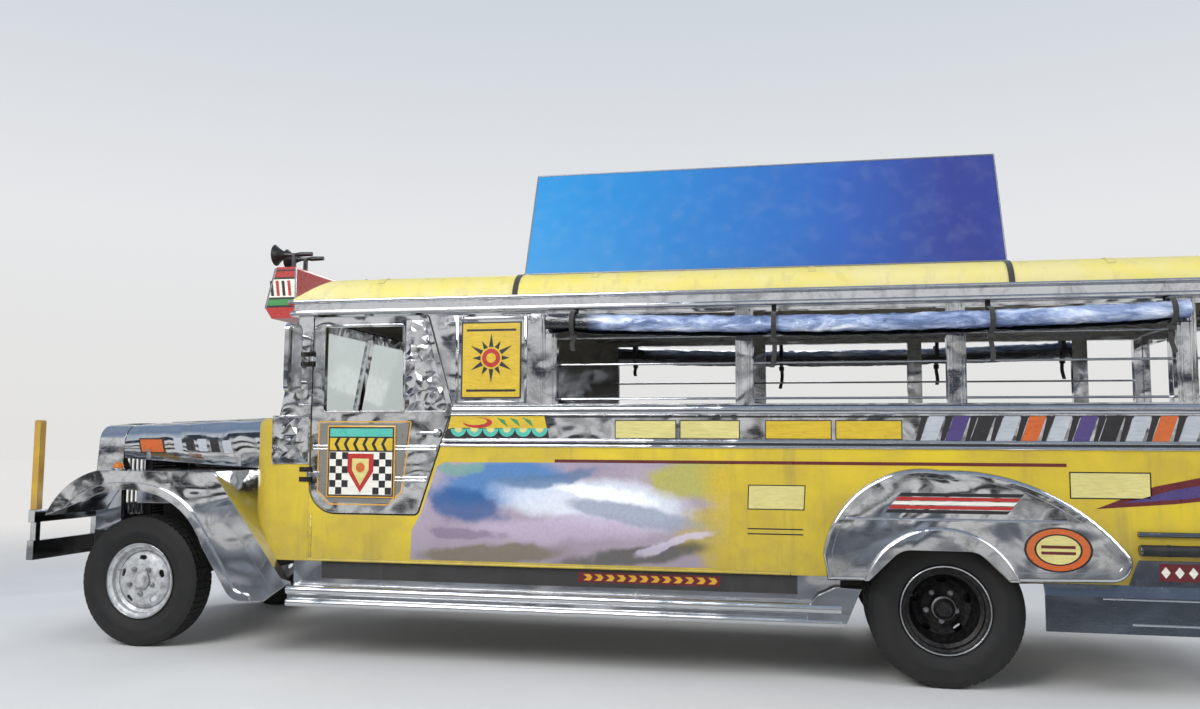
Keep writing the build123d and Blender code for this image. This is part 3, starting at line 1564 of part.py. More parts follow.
def sign_straps():
    straps = []
    band = roof_solid(-seat_gap - strap_thickness) - roof_solid(-seat_gap)
    for x in (sign_front_x - strap_inset, sign_front_x - sign_length + strap_inset):
        window = block(x - strap_width / 2, x + strap_width / 2, sign_low[0] + sign_board + sheet, board_y,
                       eaves_z,
                       roof_top_z + sign_rib)
        straps += both_sides(band & window)
    return straps


# Rolled side curtains under the drip rail, each in a strap behind every post and one at its rear end
curtain_radius = 58
curtain_clearance = 6
curtain_drop = 6
curtain_y = body_y + curtain_radius + curtain_clearance
curtain_front_x = first_post_x
curtain_rear_x = body_rear_x + rear_bay_half
curtain_z = header_z - curtain_radius - curtain_drop
curtain_sag = 38
strap_setback = 150
strap_end_inset = 80
curtain_strap_width = 24
curtain_strap_gap = 0.9
strap_overrun = 10


def curtain_height(x):
    """Height of the roll's centre line above the ground at x."""
    half_span = (curtain_front_x - curtain_rear_x) / 2
    middle = (curtain_front_x + curtain_rear_x) / 2
    return curtain_z - curtain_sag * (1 - ((x - middle) / half_span) ** 2)


def curtain_roll():
    path = ThreePointArc((curtain_rear_x, curtain_y, curtain_z),
                         ((curtain_front_x + curtain_rear_x) / 2, curtain_y, curtain_z - curtain_sag),
                         (curtain_front_x, curtain_y, curtain_z))
    section = Plane(origin=path @ 0, z_dir=path % 0) * Circle(curtain_radius)
    return sweep(section, path=path)


def rolled_curtains():
    return Compound(children=both_sides(curtain_roll()))


def curtain_straps():
    straps = []
    half = curtain_strap_width / 2
    for x in [post - strap_setback for post in posts[:-1]] + [curtain_rear_x + strap_end_inset]:
        slope = (curtain_height(x + half) - curtain_height(x - half)) / curtain_strap_width
        ends = []
        for reach in (half, half + strap_overrun):
            for sign in (-1, 1):
                ends.append((x + sign * reach, curtain_y, curtain_height(x) + sign * reach * slope))
        loop = rod(ends[0], ends[1], curtain_radius + curtain_strap_gap + strap_thickness)
        tab = block(x - half, x + half, body_y, body_y + strap_thickness, ends[0][2], header_z)
        straps += both_sides((loop + tab) - rod(ends[2], ends[3], curtain_radius + curtain_strap_gap))
    return straps


def build_parts():
    parts = {}

    def pair(name, shape):
        parts[name + "_left"] = shape
        parts[name + "_right"] = mirror(shape, about=Plane.XZ)

    parts["chassis_frame"] = chassis_frame()
    parts["leaf_springs"] = leaf_springs()
    parts["front_axle"] = front_axle()
    parts["rear_axle"] = rear_axle()
    parts["engine_block"] = engine_block()
    parts["propeller_shaft"] = propeller_shaft()
    parts["fuel_tank"] = fuel_tank()
    parts["exhaust"] = exhaust()
    parts["floor"] = floor()
    parts["cowl"] = cowl()
    pair("knuckle", knuckle())
    pair("wheel_front", front_wheel())
    pair("tyre_front", tyre(front_wheel_y, front_axle_x))
    pair("wheels_rear", rear_wheels())
    pair("tyres_rear", Compound(children=[tyre(outer_wheel_y, rear_axle_x),
                                          tyre(inner_wheel_y, rear_axle_x)]))
    pair("side_panel", side_panel())
    pair("window_frame", window_frame())
    pair("door", door())
    parts["hinges"] = Compound(children=door_hinges() + hood_hinges())
    parts["windshield_frame"] = windshield_frame()
    parts["windshield_glass"] = windshield_glass()
    parts["window_bars"] = Compound(children=both_sides(window_bars()))
    parts["cant_rail"] = cant_rail()
    parts["roof"] = roof()
    parts["rear_frame"] = rear_frame()
    parts["hood"] = hood()
    parts["grille"] = grille()
    parts["headlamps"] = headlamps()
    parts["headlamp_glass"] = headlamp_glass()
    pair("front_fender", front_fender())
    parts["front_bumper"] = front_bumper()
    parts["marker_posts"] = marker_posts()
    parts["rear_fenders"] = Compound(children=both_sides(rear_fender()))
    parts["running_boards"] = Compound(children=both_sides(running_board()))
    parts["rear_skirts"] = Compound(children=both_sides(rear_skirt()) + rub_rails())
    parts["rear_bumper"] = Compound(children=[rear_bumper(), rear_step()])
    parts["tail_lamps"] = tail_lamps()
    parts["grab_rails"] = Compound(children=grab_rails() + ceiling_rails())
    parts["dashboard"] = dashboard()
    parts["steering_wheel"] = steering_wheel()
    parts["seat_frames"] = seat_frames()
    parts["seat_cushions"] = seat_cushions()
    parts["bench_frames"] = Compound(children=both_sides(bench_frame()))
    parts["bench_pads"] = bench_pads()
    parts["headboard"] = headboard()
    parts["roof_horns"] = roof_horns()
    parts["mirrors"] = mirror_set()
    parts["sign_frame"] = sign_frame()
    parts["sign_boards"] = sign_boards()
    parts["straps"] = Compound(children=sign_straps() + curtain_straps())
    parts["rolled_curtains"] = rolled_curtains()
    return parts


os.makedirs("parts", exist_ok=True)
for name, shape in build_parts().items():
    export_step(shape, f"parts/{name}.step")
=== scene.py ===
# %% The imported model, loaded as a fixed frame
import math

import bmesh
import bpy
from mathutils import Matrix, Vector, noise
from mathutils.bvhtree import BVHTree


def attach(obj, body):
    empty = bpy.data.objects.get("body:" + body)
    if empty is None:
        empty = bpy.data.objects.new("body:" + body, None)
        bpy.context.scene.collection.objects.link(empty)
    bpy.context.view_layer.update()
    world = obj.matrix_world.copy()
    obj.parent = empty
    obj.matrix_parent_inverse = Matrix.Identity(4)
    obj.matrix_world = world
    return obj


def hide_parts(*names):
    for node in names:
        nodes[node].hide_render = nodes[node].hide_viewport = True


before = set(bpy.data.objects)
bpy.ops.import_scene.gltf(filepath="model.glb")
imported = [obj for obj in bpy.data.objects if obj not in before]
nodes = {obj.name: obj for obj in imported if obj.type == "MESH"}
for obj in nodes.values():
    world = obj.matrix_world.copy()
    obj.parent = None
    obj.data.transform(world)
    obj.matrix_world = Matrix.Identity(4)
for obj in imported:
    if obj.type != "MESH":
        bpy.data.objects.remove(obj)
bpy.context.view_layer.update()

scene = bpy.context.scene

# %% [markdown]
# A jeepney is a long passenger vehicle with bright stainless sheet, yellow enamel and hand-painted
# decoration. The frame holds its exact solids in metres: X forward, Y to the left, Z up. Everything below is
# either a finish for one of those solids or a new piece that sits on them. Sizes are given in metres, and
# patterns in millimetres, because a maker thinks of paint runs and thread in millimetres.

# %% Sizes that several pieces share
front_axle_x, rear_axle_x, axle_z = 2.77, -1.63, 0.37
front_tyre_y, rear_tyre_y, inner_tyre_y = 0.745, 0.785, 0.555
side_rear_x = -3.118


def linear(code):
    """An sRGB hex colour as the linear values that Blender's sockets take."""
    channels = [int(code[i:i + 2], 16) / 255 for i in (1, 3, 5)]
    return tuple(c / 12.92 if c <= 0.04045 else ((c + 0.055) / 1.055) ** 2.4 for c in channels) + (1.0,)


def per(millimetres):
    """The Scale of a pattern whose features are this far apart."""
    return 1000 / millimetres


print("wheelbase", round(front_axle_x - rear_axle_x, 3), "m")

# %% [markdown]
# A finish is a small network of shader nodes. It could be wired by hand in the editor; here one function
# adds a node with its settings and links, so that a recipe reads from top to bottom like a list of coats.

# %% One function that adds a node
def output(source):
    """A socket as it is, or the first output that a node has switched on."""
    if isinstance(source, bpy.types.Node):
        return next(socket for socket in source.outputs if socket.enabled)
    return source


def fill(tree, node, sockets):
    """Give sockets a value or a hex colour, or link them to a node or to one of its outputs."""
    for key, value in sockets.items():
        socket, value = node.inputs[key], output(value)
        if isinstance(value, bpy.types.NodeSocket):
            tree.links.new(value, socket)
        else:
            socket.default_value = linear(value) if isinstance(value, str) else value


def add(tree, kind, *values, stops=None, **settings):
    """Add a node. Values fill its sockets in order and capitalised settings by name; stops are a ramp's."""
    node = tree.nodes.new("ShaderNode" + kind)
    named = {key.replace("_", " "): settings.pop(key) for key in list(settings) if key[0].isupper()}
    for key, value in settings.items():
        setattr(node, key, value)
    fill(tree, node, dict(enumerate(values)) | named)
    if stops:
        elements = node.color_ramp.elements
        for _ in range(len(stops) - 2):
            elements.new(0.5)
        for element, (position, colour) in zip(elements, stops):
            element.position = position
            element.color = linear(colour)
    return node


def wire(tree, colour=None, rough=None, normal=None, **named):
    """Give a finish's shader what a recipe ends in."""
    ends = {"Base_Color": colour, "Roughness": rough, "Normal": normal} | named
    sockets = {key.replace("_", " "): value for key, value in ends.items() if value is not None}
    fill(tree, tree.nodes["Principled BSDF"], sockets)


def new_finish(name, colour=None, **named):
    """A material with these values all over; returns it with its tree and its place in metres."""
    material = bpy.data.materials.new(name)
    material.use_nodes = True
    tree = material.node_tree
    wire(tree, colour, **named)
    return material, tree, add(tree, "TexCoord").outputs["Object"]


print("nodes can be added and wired")

# %% [markdown]
# **Camera, floor and light.** The camera stands where the photographer stood, six metres from the body's
# side at eye height, with a 30 mm lens. The floor is a plain pale disc that fades into haze. Polished sheet
# shows mostly what is round it, so the world is a soft dome, white at the horizon and cooler and darker
# overhead, as under an open sky, and three large lamps give the body its form.

# %% Camera at the photograph's place
eye = Vector((-0.957, 6.006, 1.173))
yaw, pitch, roll = math.radians(11.362), math.radians(5.001), math.radians(0.272)
forward = Vector((math.sin(yaw) * math.cos(pitch), -math.cos(yaw) * math.cos(pitch), math.sin(pitch)))
level = forward.cross(Vector((0, 0, 1))).normalized()
upward = level.cross(forward)
across = math.cos(roll) * level + math.sin(roll) * upward
rise = math.cos(roll) * upward - math.sin(roll) * level
camera = bpy.data.objects.new("camera", bpy.data.cameras.new("camera"))
camera.data.lens = 30.0
camera.data.sensor_width = 36.0
camera.matrix_world = Matrix.Translation(eye) @ Matrix((across, rise, -forward)).transposed().to_4x4()
scene.collection.objects.link(camera)
scene.camera = camera
scene.view_settings.view_transform = "Standard"
print("camera at", tuple(round(v, 3) for v in eye))

# %% Put a piece into the scene, or into the studio round it
def put(name, bm):
    """Turn a bmesh into a mesh object in the scene."""
    mesh = bpy.data.meshes.new(name)
    bm.to_mesh(mesh)
    bm.free()
    thing = bpy.data.objects.new(name, mesh)
    scene.collection.objects.link(thing)
    return thing


def put_in_studio(name, bm, finish, hidden_from=()):
    """A piece of the studio, which these kinds of ray don't see."""
    thing = put(name, bm)
    thing.data.materials.append(finish)
    for kind in hidden_from:
        setattr(thing, "visible_" + kind, False)


print("pieces can be put into the scene")

# %% Pale floor
floor_paint, tree, place = new_finish("studio_floor_paint", Roughness=0.65)
clouds = add(tree, "TexNoise", place, Scale=per(900), Detail=4.0)
wire(tree, add(tree, "ValToRGB", clouds, stops=[(0.3, "#D6D5D2"), (0.7, "#DCDBD8")]))
reach = add(tree, "VectorMath", place, operation="LENGTH")
far = add(tree, "MapRange", reach, From_Min=4.6, From_Max=12.0, interpolation_type="SMOOTHSTEP")
ray = add(tree, "LightPath").outputs
eyes = add(tree, "Math", ray["Is Camera Ray"], ray["Is Glossy Ray"], operation="ADD")
seen = add(tree, "Math", eyes, ray["Is Transmission Ray"], operation="ADD", use_clamp=True)
fade = add(tree, "Math", far, seen, operation="MULTIPLY")
haze = add(tree, "Emission", Color="#E6E5E3", Strength=1.0)
blend = add(tree, "MixShader", fade, tree.nodes["Principled BSDF"], haze)
tree.links.new(output(blend), tree.nodes["Material Output"].inputs["Surface"])
bm = bmesh.new()
bmesh.ops.create_circle(bm, cap_ends=True, segments=96, radius=60)
put_in_studio("studio_floor", bm, floor_paint)
print("floor of", len(floor_paint.node_tree.nodes), "nodes")

# %% Soft dome and lamps
world = bpy.data.worlds.new("studio_dome")
scene.world = world
world.use_nodes = True
dome = world.node_tree
direction = add(dome, "TexCoord").outputs["Generated"]
elevation = add(dome, "SeparateXYZ", direction).outputs["Z"]
sky = add(dome, "ValToRGB", elevation, stops=[(0.0, "#E9E8E6"), (0.2, "#ECEDEF"), (0.42, "#D3DAE2"),
                                              (0.62, "#8499B6"), (1.0, "#A9B6C8")])
dome.links.new(output(sky), dome.nodes["Background"].inputs["Color"])
dome.nodes["Background"].inputs["Strength"].default_value = 0.95


def lamp(name, stand, target, size, power):
    """A square soft box that looks at a point of the vehicle."""
    light = bpy.data.lights.new(name, "AREA")
    light.size = size
    light.energy = power
    box = bpy.data.objects.new(name, light)
    box.location = stand
    box.rotation_euler = (Vector(target) - Vector(stand)).to_track_quat("-Z", "Y").to_euler()
    scene.collection.objects.link(box)


lamp("key_box", (3.5, 8.0, 6.5), (0.0, 0.8, 1.0), 5.0, 750)
lamp("rear_box", (-8.0, 3.5, 5.0), (-2.0, 0.0, 1.0), 4.0, 260)
lamp("far_box", (1.0, -8.0, 6.0), (0.0, 0.0, 1.0), 5.0, 420)
print("dome and three lamps")

# %% [markdown]
# Polished metal in an empty pale room looks like paper. A photographer of cutlery or cars stands dark
# cloths, called flags, round the object, so that the metal has something to mirror. Three are rings far out,
# and one is a mottled cloth just above the floor. Only mirrors see them.

# %% Dark flags for the metal to mirror
unseen = ("camera", "diffuse", "transmission", "shadow", "volume_scatter")
ring_radius, cloth_lift = 16.0, 0.003
flags = ((0.25, 1.05, "#14161A"), (2.1, 2.9, "#26303F"), (4.6, 6.6, "#3A4452"))
for index, (low, high, colour) in enumerate(flags):
    bm = bmesh.new()
    bmesh.ops.create_cone(bm, cap_ends=False, segments=64, radius1=ring_radius, radius2=ring_radius,
                          depth=high - low, matrix=Matrix.Translation((0, 0, (low + high) / 2)))
    cloth = new_finish(f"flag_cloth_{index}", Base_Color=colour, Roughness=1.0)[0]
    put_in_studio(f"studio_flag_{index}", bm, cloth, unseen)
ground_cloth, tree, place = new_finish("ground_flag_cloth", Roughness=1.0)
blotches = add(tree, "TexNoise", place, Scale=per(1300), Detail=3.0, Roughness=0.55)
wire(tree, add(tree, "ValToRGB", blotches, stops=[(0.36, "#1B1D21"), (0.47, "#34373D"), (0.56, "#6E7279"),
                                                  (0.68, "#A6A9AE")]))
bm = bmesh.new()
bmesh.ops.create_circle(bm, segments=64, radius=2.3, matrix=Matrix.Diagonal((2.2, 1, 1, 1)))
bmesh.ops.create_circle(bm, segments=64, radius=9.0)
bmesh.ops.bridge_loops(bm, edges=bm.edges[:])
bmesh.ops.translate(bm, vec=(0, 0, cloth_lift), verts=bm.verts[:])
put_in_studio("studio_ground_flag", bm, ground_cloth, unseen)
print("four flags")

# %% [markdown]
# **Yellow enamel.** The lower body and the roof are mild steel sheet, brushed and sprayed with yellow enamel
# many times over. Old enamel is uneven: newer coats in patches, rain runs, road dust low down and grey metal
# where edges rub. One image could hold all that, but noise at real sizes works from every side and at every
# distance.

# %% Enamel recipe
def old_enamel(name, fresh, faded, dust="#5E574A", dust_top=0.95, dust_low=0.45, gloss=0.34, coat=0.25):
    """Brushed enamel on sheet steel: patchy coats, rain runs, dust below, bare metal at the edges."""
    material, tree, place = new_finish(name, IOR=1.5, Coat_Weight=coat, Coat_Roughness=0.25)
    patches = add(tree, "TexNoise", place, Scale=per(380), Detail=5.0, Roughness=0.62)
    coats = add(tree, "ValToRGB", patches, stops=[(0.36, fresh), (0.62, faded)])
    tall = add(tree, "Mapping", place, Scale=(1.0, 1.0, 0.1))
    runs = add(tree, "TexNoise", tall, Scale=per(64), Detail=4.0, Roughness=0.6)
    streaked = add(tree, "MapRange", runs, From_Min=0.54, From_Max=0.8, To_Max=0.34)
    rained = add(tree, "MixRGB", streaked, coats, dust)
    height = add(tree, "SeparateXYZ", place).outputs["Z"]
    low = add(tree, "MapRange", height, From_Min=dust_top, From_Max=dust_low, To_Max=0.62)
    specks = add(tree, "TexNoise", place, Scale=per(70), Detail=6.0, Roughness=0.7)
    dirt = add(tree, "Math", low, specks, operation="MULTIPLY")
    dusty = add(tree, "MixRGB", dirt, rained, dust)
    rounded = add(tree, "Bevel", Radius=0.006, samples=4)
    true = add(tree, "NewGeometry").outputs["Normal"]
    turn = add(tree, "VectorMath", rounded, true, operation="DOT_PRODUCT")
    edge = add(tree, "MapRange", turn, From_Min=0.985, From_Max=0.9, To_Max=1.0)
    rubbed = add(tree, "Math", edge, specks, operation="MULTIPLY")
    chips = add(tree, "MapRange", rubbed, From_Min=0.38, From_Max=0.5)
    colour = add(tree, "MixRGB", chips, dusty, "#6E665A")
    rough = add(tree, "MapRange", specks, From_Min=0.3, From_Max=0.7, To_Min=gloss - 0.08, To_Max=gloss + 0.2)
    peel = add(tree, "TexNoise", place, Scale=per(9), Detail=2.0)
    dents = add(tree, "TexNoise", place, Scale=per(260), Detail=1.0)
    skin = add(tree, "Bump", Height=dents, Strength=1.0, Distance=0.008, Normal=rounded)
    orange = add(tree, "Bump", Height=peel, Strength=0.5, Distance=0.0004, Normal=skin)
    wire(tree, colour, rough, orange)
    return material


yellow_enamel = old_enamel("yellow_enamel_on_steel", "#D0B61E", "#B9A02C")
roof_enamel = old_enamel("faded_yellow_roof_enamel", "#D9CA62", "#D8CC8C", "#8B8468", 2.0, 1.9, 0.5, 0.04)
floor_enamel = old_enamel("worn_floor_paint", "#8E8C86", "#6F6C66", gloss=0.5)
post_enamel = old_enamel("yellow_post_enamel", "#C2992A", "#A68336", dust_top=0.9, dust_low=0.7)
# Black enamel for the chassis, and painted shade on the sill.
black_enamel_and_sill_shade = old_enamel("black_chassis_enamel_and_sill_shade", "#17171A", "#232226", "#4C463D", 0.75, 0.25, 0.5)
print("five enamels")

# %% [markdown]
# **Polished stainless sheet.** The doors, hood, fenders and window posts are hand-beaten stainless, 1 mm
# thick and polished on the bench. A flat sheet never stays flat: it oil-cans in soft folds, and where it was
# beaten it crumples like foil. The metal's own colour stays even and the folds do the work, so they go into
# a bump whose height is in real millimetres, and smears of wax and dust go into the roughness.

# %% Stainless recipe
def stainless(name, fold, crease, tint="#D5D7DA", smear="#8F8D86", gloss=0.05, dust_top=0.9, dust_low=0.2):
    """Polished sheet. fold and crease are each a bump's size in millimetres and its height in metres."""
    material, tree, place = new_finish(name, Metallic=1.0)
    folds = add(tree, "TexNoise", place, Scale=per(fold[0]), Detail=1.0, Distortion=0.5)
    beaten = add(tree, "TexNoise", place, Scale=per(crease[0]), Detail=1.5, Roughness=0.4, Distortion=0.5)
    smears = add(tree, "TexNoise", place, Scale=per(120), Detail=6.0, Roughness=0.7, Distortion=0.8)
    scratches = add(tree, "Mapping", place, Scale=(0.06, 1.0, 1.0))
    lines = add(tree, "TexNoise", scratches, Scale=per(4), Detail=2.0)
    height = add(tree, "SeparateXYZ", place).outputs["Z"]
    low = add(tree, "MapRange", height, From_Min=dust_top, From_Max=dust_low, To_Max=0.5)
    film = add(tree, "MapRange", smears, From_Min=0.45, From_Max=0.75, To_Max=0.6)
    worst = add(tree, "Math", film, low, operation="MAXIMUM")
    dirt = add(tree, "Math", worst, smears, operation="MULTIPLY")
    colour = add(tree, "MixRGB", dirt, tint, smear)
    brushed = add(tree, "MapRange", lines, From_Min=0.3, From_Max=0.7, To_Min=gloss, To_Max=gloss + 0.05)
    rough = add(tree, "Math", dirt, 0.55, brushed, operation="MULTIPLY_ADD")
    rounded = add(tree, "Bevel", Radius=0.004, samples=4)
    soft = add(tree, "Bump", Height=folds, Strength=1.0, Distance=fold[1], Normal=rounded)
    sharp = add(tree, "Bump", Height=beaten, Strength=1.0, Distance=crease[1], Normal=soft)
    wire(tree, colour, rough, sharp)
    return material


flat_stainless = stainless("polished_stainless_sheet", (360, 0.02), (140, 0.0016))
wavy_stainless = stainless("oil_canned_stainless_hood", (380, 0.026), (120, 0.0022))
beaten_stainless = stainless("beaten_stainless_panels", (330, 0.034), (150, 0.0065))
door_stainless = stainless("smooth_stainless_doors", (340, 0.026), (150, 0.0022))
bright_moulding = stainless("bright_moulding", (300, 0.004), (90, 0.0003), gloss=0.04)
dark_stainless = stainless("weathered_stainless_skirts", (320, 0.016), (100, 0.0015), "#7C838D", "#4A463F",
                           0.14, 0.8)
print("six stainless finishes")

# %% [markdown]
# **Rubber, wheels and running gear.** Tyres are carbon-black rubber, matt and browned by dust on the side
# walls. Wheels are pressed steel with silver paint that the brakes and the road wear to grey. Iron parts
# underneath are oily and dusty.

# %% Dusty matt recipe
def dusty_matt(name, colour, dust, roughness, size=55, amount=0.6, metallic=0.0, grain=0.0006,
               grain_size=3.0):
    """A matt surface with dust in cloudy patches, and a fine grain in its relief."""
    material, tree, place = new_finish(name, Metallic=metallic)
    clouds = add(tree, "TexNoise", place, Scale=per(size), Detail=7.0, Roughness=0.68)
    amount_here = add(tree, "MapRange", clouds, From_Min=0.42, From_Max=0.75, To_Max=amount)
    mixed = add(tree, "MixRGB", amount_here, colour, dust)
    rough = add(tree, "MapRange", clouds, From_Min=0.3, From_Max=0.75, To_Min=roughness,
                To_Max=min(roughness + 0.25, 1.0))
    tooth = add(tree, "TexNoise", place, Scale=per(grain_size), Detail=3.0)
    rounded = add(tree, "Bevel", Radius=0.003, samples=4)
    relief = add(tree, "Bump", Height=tooth, Strength=0.7, Distance=grain, Normal=rounded)
    wire(tree, mixed, rough, relief)
    return material


tyre_rubber = dusty_matt("dusty_tyre_rubber", "#0E0E0F", "#3A352E", 0.62, amount=0.4)
wheel_paint = dusty_matt("worn_silver_wheel_paint", "#C4C6C8", "#5A544C", 0.38, 38, 0.85, 0.35)
cast_iron = dusty_matt("oily_cast_iron", "#2A2826", "#5A5044", 0.5, grain=0.0012, metallic=0.4)
tank_paint = dusty_matt("satin_black_tank_paint", "#1C1C1D", "#554D42", 0.42)
# Blackened steel for hinges, hub caps and engine parts, and painted shade on the rear wheels.
black_steel_and_wheel_shade = dusty_matt("blackened_steel_and_rear_wheel_shade", "#232325", "#5C5750", 0.4, size=20, metallic=0.8)
plain_steel = dusty_matt("zinc_plated_fasteners", "#A9ABAE", "#6B5D4C", 0.3, 12, metallic=0.9, grain=0.0002)
black_plastic = dusty_matt("moulded_black_plastic", "#1A1A1C", "#4A4640", 0.45, amount=0.3, grain=0.0003,
                           grain_size=1.5)
horn_metal = dusty_matt("dull_horn_metal", "#3A3B3F", "#6A655C", 0.28, size=30, metallic=0.9)
print("eight matt finishes")

# %% [markdown]
# **Lenses, glass and mirrors.** Clear glass and lamp lenses are both drawn as acrylic, a transmission shader
# at an index of 1.49, since window glass at 1.52 looks the same. Lenses are coloured and moulded with prisms
# whose ribs show as bump. A mirror is silvered glass, so metal with hardly any roughness.

# %% Lens recipe
def lens(name, colour, transmission=1.0, ribs=8.0, relief=0.0008):
    """Clear or coloured plastic or glass. ribs is the prisms' spacing in millimetres."""
    material, tree, place = new_finish(name, Base_Color=colour, IOR=1.49, Transmission_Weight=transmission)
    prisms = add(tree, "TexWave", place, Scale=per(ribs) / 6.3, bands_direction="Z").outputs["Fac"]
    moulded = add(tree, "Bump", Height=prisms, Strength=0.6, Distance=relief)
    dust = add(tree, "TexNoise", place, Scale=per(30), Detail=5.0)
    rough = add(tree, "MapRange", dust, From_Min=0.4, From_Max=0.8, To_Min=0.03, To_Max=0.25)
    wire(tree, None, rough, moulded)
    return material


window_glass = lens("clear_window_glass", "#E6F0EE", relief=0.0)
lamp_glass = lens("ribbed_headlamp_glass", "#F2F5F5", ribs=12.0)
red_lens = lens("red_acrylic_lens", "#B01010", 0.35, 6.0)
amber_lens = lens("amber_acrylic_lens", "#E07A08", 0.35, 6.0)
mirror_glass = stainless("silvered_mirror_glass", (300, 0.0005), (90, 0.0), "#E9ECEE", gloss=0.01,
                         dust_top=0.0, dust_low=-0.2)
print("lenses and glass")

# %% [markdown]
# **Sign writer's paint.** The decoration is brushed on in flat gloss colours with black outlines. The
# colours are even from a distance and streaked close to, so each has fine brush lines, a slight fade and a
# few flaked spots.

# %% Sign paint recipe
def sign_paint(name, colour, faded, gloss=0.25):
    """Brushed gloss paint: streaks, a slow fade to the second colour, and flakes down to grey primer."""
    material, tree, place = new_finish(name, IOR=1.5, Coat_Weight=0.35, Coat_Roughness=0.12)
    along = add(tree, "Mapping", place, Scale=(0.12, 1.0, 1.0))
    brush = add(tree, "TexNoise", along, Scale=per(7), Detail=3.0)
    fade = add(tree, "TexNoise", place, Scale=per(160), Detail=4.0)
    mixed = add(tree, "MixRGB", fade, colour, faded)
    tone = add(tree, "MapRange", brush, From_Min=0.3, From_Max=0.7, To_Min=0.84, To_Max=1.06)
    brushed = add(tree, "HueSaturation", Color=mixed, Value=tone)
    flakes = add(tree, "TexNoise", place, Scale=per(22), Detail=8.0, Roughness=0.75)
    bare = add(tree, "MapRange", flakes, From_Min=0.68, From_Max=0.72, To_Max=0.75)
    worn = add(tree, "MixRGB", bare, brushed, "#77746B")
    rough = add(tree, "MapRange", flakes, From_Min=0.3, From_Max=0.75, To_Min=gloss - 0.05,
                To_Max=gloss + 0.25)
    strokes = add(tree, "Bump", Height=brush, Strength=0.4, Distance=0.0004)
    wire(tree, worn, rough, strokes)
    return material


paint = {name: sign_paint("sign_" + name, fresh, faded) for name, fresh, faded in (
    ("black", "#151416", "#2A272A"), ("teal", "#2FA79A", "#5FB8A2"), ("yellow", "#D3B41E", "#BF9F2C"),
    ("red", "#B8201C", "#9C2A22"), ("green", "#2F7F3A", "#3F8F4E"), ("cream", "#D6CC86", "#C2B76E"),
    ("white", "#E9E6DD", "#D8D3C4"), ("purple", "#3C2F66", "#54447C"), ("orange", "#C8541E", "#B8642C"),
    ("silver", "#B9BDC2", "#9A9FA8"), ("maroon", "#561519", "#6A2426"), ("gold", "#D8A32A", "#C08A2C"),
    ("grey", "#6C6A66", "#7E7B74"))}
BLACK, TEAL, YELLOW, RED, GREEN, CREAM, WHITE, PURPLE, ORANGE, SILVER, MAROON, GOLD = range(12)
shades = list(paint.values())[:12]
print(len(paint), "sign paints")

# %% [markdown]
# **Cloth, vinyl and webbing.** Seats are covered in embossed vinyl, a soft plastic skin with a leather-like
# grain every 2 mm or so and a slight sheen. The side curtains are coated clear sheet gone milky, and straps
# are woven nylon, whose ribs cross the width every 3 mm here, a little coarser than real so that they show.

# %% Vinyl
def vinyl(name, colour, rubbed):
    """Embossed vinyl, creased by sitting and rubbed in patches to a second colour."""
    material, tree, place = new_finish(name, IOR=1.5, Sheen_Weight=0.12, Sheen_Roughness=0.5)
    use = add(tree, "TexNoise", place, Scale=per(140), Detail=5.0)
    worn = add(tree, "MapRange", use, From_Min=0.45, From_Max=0.72, To_Max=0.55)
    colour_here = add(tree, "MixRGB", worn, colour, rubbed)
    cells = add(tree, "TexVoronoi", place, Scale=per(2.6), feature="DISTANCE_TO_EDGE")
    grain = add(tree, "MapRange", cells, From_Max=0.12)
    pores = add(tree, "Bump", Height=grain, Strength=0.6, Distance=0.0004)
    sag = add(tree, "TexNoise", place, Scale=per(45), Detail=2.0, Distortion=0.7)
    creases = add(tree, "Bump", Height=sag, Strength=0.8, Distance=0.004, Normal=pores)
    rough = add(tree, "MapRange", use, From_Min=0.3, From_Max=0.7, To_Min=0.3, To_Max=0.5)
    wire(tree, colour_here, rough, creases)
    return material


seat_vinyl = vinyl("maroon_embossed_vinyl", "#541416", "#7A3A34")
piping_vinyl = vinyl("cream_vinyl_piping", "#CFC49E", "#A99C7A")
print("two vinyls")

# %% Milky curtain sheet with painted highlights and painted crease shade, and its black hem by the sheet's own UV map
curtain_sheet, tree, place = new_finish("milky_curtain_sheet", IOR=1.5, Coat_Weight=0.6, Coat_Roughness=0.12)
gathers = add(tree, "Mapping", place, Scale=(0.3, 1.0, 1.0))
haze = add(tree, "TexNoise", gathers, Scale=per(70), Detail=5.0, Roughness=0.6, Distortion=0.6)
# Blue-grey to near white: the sheet's milky tone, with painted highlights in its whitest patches.
clear = add(tree, "ValToRGB", haze, stops=[(0.38, "#5E7096"), (0.5, "#8D9DC0"), (0.6, "#BAC6DE"),
                                           (0.7, "#EEF1F6")])
# Thin dark lines along the ridges of the folds: painted shade in the creases.
folded = add(tree, "TexNoise", gathers, Scale=per(58), Detail=3.0, Distortion=1.0,
             noise_type="RIDGED_MULTIFRACTAL")
line = add(tree, "MapRange", folded, From_Min=0.62, From_Max=0.9, To_Max=0.85)
milky = add(tree, "MixRGB", line, clear, "#1B2130")
wound_at = add(tree, "SeparateXYZ", add(tree, "UVMap", uv_map="sheet")).outputs
bound = add(tree, "MapRange", wound_at["Y"], From_Min=0.145, From_Max=0.125)
front_tube = add(tree, "MapRange", wound_at["X"], From_Min=0.9, From_Max=0.93)
hemmed = add(tree, "Math", bound, front_tube, operation="MAXIMUM")
rolled = add(tree, "MixRGB", hemmed, milky, "#24262C")
ripple = add(tree, "TexNoise", place, Scale=per(46), Detail=2.0, Distortion=1.6,
             noise_type="RIDGED_MULTIFRACTAL")
pleats = add(tree, "TexNoise", gathers, Scale=per(26), Detail=1.0, Distortion=0.8)
